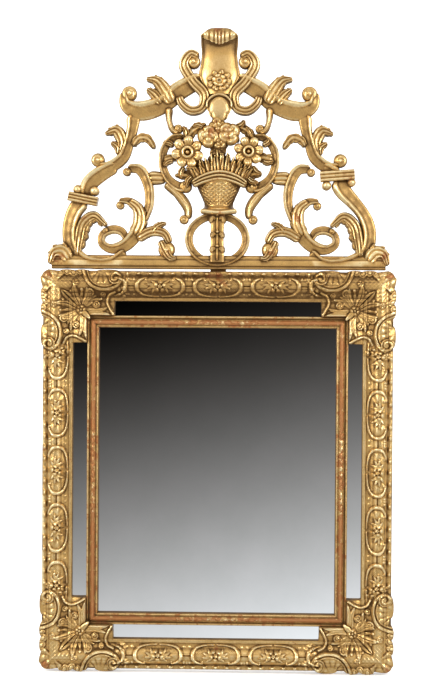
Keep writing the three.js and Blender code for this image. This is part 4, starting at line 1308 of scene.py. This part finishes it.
def gilding(name, wear):
    """Burnished leaf, with painted shade in the hollows and painted highlights on the heights, rubbed through
    to the red where worn.
    """
    w = Wiring(name)
    # The height attribute is the painted light level: painted shade in the hollows, painted highlights on the
    # heights
    height = w.read("height")
    fine = w.noise(420, 5, 0.65)
    broad = w.noise(28, 3, 0.55)
    patch = w.noise(75, 6, 0.7)
    level = w.math("ADD", height, w.spread(fine, 0.3, 0.7, -0.06, 0.06))
    level = w.math("ADD", level, w.spread(broad, 0.3, 0.7, -0.07, 0.07))
    # The leaf's colour goes from painted shade in the crevices to painted highlights, along the painted light
    # level
    gold = w.ramp(level, [(0.0, CREVICE_SHADE), (0.24, SHADE), (0.45, GOLD), (0.62, LIT_GOLD), (0.85, HIGHLIGHT_GOLD)])
    # The red ground is darker in painted shade and paler in painted highlights
    red = w.ramp(w.math("ADD", height, w.spread(patch, 0.3, 0.7, -0.2, 0.2)),
                 [(0.25, SHADED_BOLE), (0.52, BOLE), (0.85, LIT_BOLE)])
    worn = w.math("ADD", w.read("bole"), w.spread(patch, 0.38, 0.62, -0.42, 0.30))
    worn = w.math("ADD", worn, wear)
    share = w.spread(worn, 0.32, 0.62, 0.0, 0.9)
    w.join(w.mix(share, gold, red), w.shader.inputs["Base Color"])
    metal = w.spread(level, 0.15, 0.5, 0.25, 0.85)
    w.join(w.math("MULTIPLY", metal, w.spread(share, 0, 1, 1.0, 0.3)), w.shader.inputs["Metallic"])
    w.shader.inputs["Specular IOR Level"].default_value = 0.3
    w.shader.inputs["Specular Tint"].default_value = (1.0, 0.78, 0.45, 1)
    rough = w.spread(w.math("ADD", fine, patch), 0.7, 1.3, 0.26, 0.46)
    w.join(rough, w.shader.inputs["Roughness"])
    w.bump(w.math("ADD", fine, w.math("MULTIPLY", patch, 1.5)), 0.35, 0.0006)
    return w.material


def silvered():
    """Plain mirror plate, with a faint cloud over it."""
    w = Wiring("silvered_glass")
    cloud = w.noise(9, 4, 0.6)
    silver = w.ramp(cloud, [(0.25, (0.80, 0.82, 0.83)), (0.75, (0.88, 0.89, 0.91))])
    w.join(silver, w.shader.inputs["Base Color"])
    w.shader.inputs["Metallic"].default_value = 1.0
    w.join(w.spread(w.noise(60, 3), 0.3, 0.7, 0.015, 0.035), w.shader.inputs["Roughness"])
    return w.material


def board_wood():
    """Old bare softwood, darkened, with its grain upright."""
    w = Wiring("bare_wood")
    grain = w.noise(30, 6, 0.65, stretch=(9, 1, 0.5))
    pores = w.noise(240, 3, 0.6, stretch=(6, 1, 0.25))
    colour = w.ramp(grain, [(0.3, (0.085, 0.045, 0.022)), (0.5, (0.19, 0.11, 0.055)),
                            (0.72, (0.30, 0.19, 0.10))])
    w.join(colour, w.shader.inputs["Base Color"])
    w.join(w.spread(pores, 0.3, 0.7, 0.62, 0.85), w.shader.inputs["Roughness"])
    w.bump(w.math("ADD", grain, pores), 0.4, 0.0008)
    return w.material


gold_leaf = gilding("gold_leaf", 0.0)
worn_leaf = gilding("worn_gold_leaf", 0.12)
for piece in pieces:
    piece.data.materials.clear()
    piece.data.materials.append(worn_leaf if piece.name.startswith("moulded") else gold_leaf)
    piece.data.shade_smooth()
    piece.data.set_sharp_from_angle(angle=math.radians(48))

mirror_glass = silvered()
wood = board_wood()
for name, node in frame["nodes"].items():
    if name.startswith("mirror_plate"):
        node.material_slots[0].material = mirror_glass
    elif name == "back_board":
        node.material_slots[0].material = wood


# Stage, light and camera

def stage_plane(name, low, high, material):
    """A flat rectangle between two corners, either level or upright and facing along Y."""
    (x0, y0, z0), (x1, y1, z1) = low, high
    mesh = bpy.data.meshes.new(name)
    mesh.from_pydata([(x0, y0, z0), (x1, y0, z0), (x1, y1, z1), (x0, y1, z1)], [], [(0, 1, 2, 3)])
    mesh.materials.append(material)
    plane = linked(name, mesh)
    return plane


def floor_material():
    """A pale floor, lit a little from within so that it stays white."""
    w = Wiring("pale_floor")
    pale = w.ramp(w.noise(3), [(0.3, (0.90, 0.89, 0.87)), (0.7, (0.93, 0.92, 0.90))])
    w.join(pale, w.shader.inputs["Base Color"])
    w.shader.inputs["Roughness"].default_value = 0.9
    w.shader.inputs["Emission Color"].default_value = (1, 1, 1, 1)
    w.shader.inputs["Emission Strength"].default_value = 0.45
    return w.material


def backdrop_material():
    """An evenly lit white wall."""
    w = Wiring("backdrop")
    white = w.ramp(w.noise(2), [(0.3, (1.0, 1.0, 1.0)), (0.7, (1.02, 1.02, 1.02))])
    w.join(white, w.shader.inputs["Emission Color"])
    w.shader.inputs["Emission Strength"].default_value = 1.0
    return w.material


def card_material():
    """A studio card that is dark above and light below, for the mirror to reflect."""
    w = Wiring("reflected_card")
    split = w.add("ShaderNodeSeparateXYZ")
    w.join(w.object_place, split.inputs["Vector"])
    down = w.math("MULTIPLY_ADD", split.outputs["X"], 0.225, w.math("MULTIPLY", split.outputs["Z"], -1.0))
    tint = w.ramp(w.spread(down, 0.0, 1.6, 0.0, 1.0), [(0.0, (1.0, 0.90, 0.82)), (0.3, (1.0, 0.96, 0.92)),
                                                       (0.7, (1.0, 1.0, 0.99)), (1.0, (0.95, 0.98, 1.0))])
    slope = w.math("MULTIPLY_ADD", down, 0.539, 0.126)
    below = w.math("MULTIPLY", w.math("POWER", w.math("MAXIMUM", slope, 0.05), 2.4), 1.2)
    above = w.spread(split.outputs["Z"], 0.16, 0.6, 0.0, 0.8)
    w.shader.inputs["Base Color"].default_value = (0, 0, 0, 1)
    w.shader.inputs["Specular IOR Level"].default_value = 0
    w.join(tint, w.shader.inputs["Emission Color"])
    w.join(w.math("ADD", below, above), w.shader.inputs["Emission Strength"])
    return w.material


STAGE_HALF = 16
WALL_Y, WALL_TOP = 9, 14
CARD_HALF, CARD_Y, CARD_FOOT, CARD_HEAD = 2.4, -3.6, -1.8, 2.8
floor_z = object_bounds()[0][2] - 0.5 * MM
floor = stage_plane("floor", (-STAGE_HALF, -WALL_Y, floor_z), (STAGE_HALF, WALL_Y, floor_z), floor_material())
floor.visible_glossy = False
stage_plane("backdrop", (-STAGE_HALF, WALL_Y, floor_z), (STAGE_HALF, WALL_Y, WALL_TOP), backdrop_material())
card = stage_plane("card", (-CARD_HALF, CARD_Y, CARD_FOOT), (CARD_HALF, CARD_Y, CARD_HEAD), card_material())
card.visible_camera = False

world = bpy.data.worlds.new("studio")
bpy.context.scene.world = world
world.use_nodes = True
world.node_tree.nodes["Background"].inputs["Color"].default_value = (1.0, 1.0, 1.0, 1)
world.node_tree.nodes["Background"].inputs["Strength"].default_value = 0.55


# Soft boxes: [place, what it points at, width and height, power, colour]
SOFT_BOXES = {
    "left_box": [(-1.7, -1.25, 0.55), (0, 0, 0.05), (0.5, 1.2), 31, (1.0, 0.985, 0.95)],
    "right_box": [(1.75, -1.25, 0.5), (0, 0, 0), (0.5, 1.2), 27, (1, 1, 1)],
    "top_box": [(0.1, -0.9, 1.75), (0, 0, 0.1), (1.5, 0.45), 5, (1, 1, 1)],
}
for name, (place, target, size, power, colour) in SOFT_BOXES.items():
    data = bpy.data.lights.new(name, "AREA")
    data.shape = "RECTANGLE"
    data.size, data.size_y = size
    data.energy = power
    data.color = colour
    light = linked(name, data)
    light.location = place
    light.rotation_mode = "QUATERNION"
    light.rotation_quaternion = (Vector(target) - Vector(place)).to_track_quat("-Z", "Y")

# The picture is 693 pixels high, and a pixel is 1.86 mm at the frame's front. The right side and the top
# are a little nearer to the camera, which looks at the middle of the picture.
PICTURE_HEIGHT = 693
PIXEL = 1.855 * MM
CAMERA_DISTANCE = 2.7
SENSOR = 36
AIM = Vector((-0.0030, -0.02, -0.1111))
YAW, PITCH, ROLL = math.radians(1.4), math.radians(-1.0), 0.0065
lens = bpy.data.cameras.new("camera")
lens.sensor_width = SENSOR
lens.lens = SENSOR * CAMERA_DISTANCE / (PICTURE_HEIGHT * PIXEL)
camera = linked("camera", lens)
turn = Euler((math.pi / 2 + PITCH, 0, YAW)).to_matrix()
camera.location = AIM + turn @ Vector((0, 0, CAMERA_DISTANCE))
camera.rotation_euler = (turn @ Euler((0, 0, ROLL)).to_matrix()).to_euler()
bpy.context.scene.camera = camera
bpy.context.scene.view_settings.view_transform = "Standard"
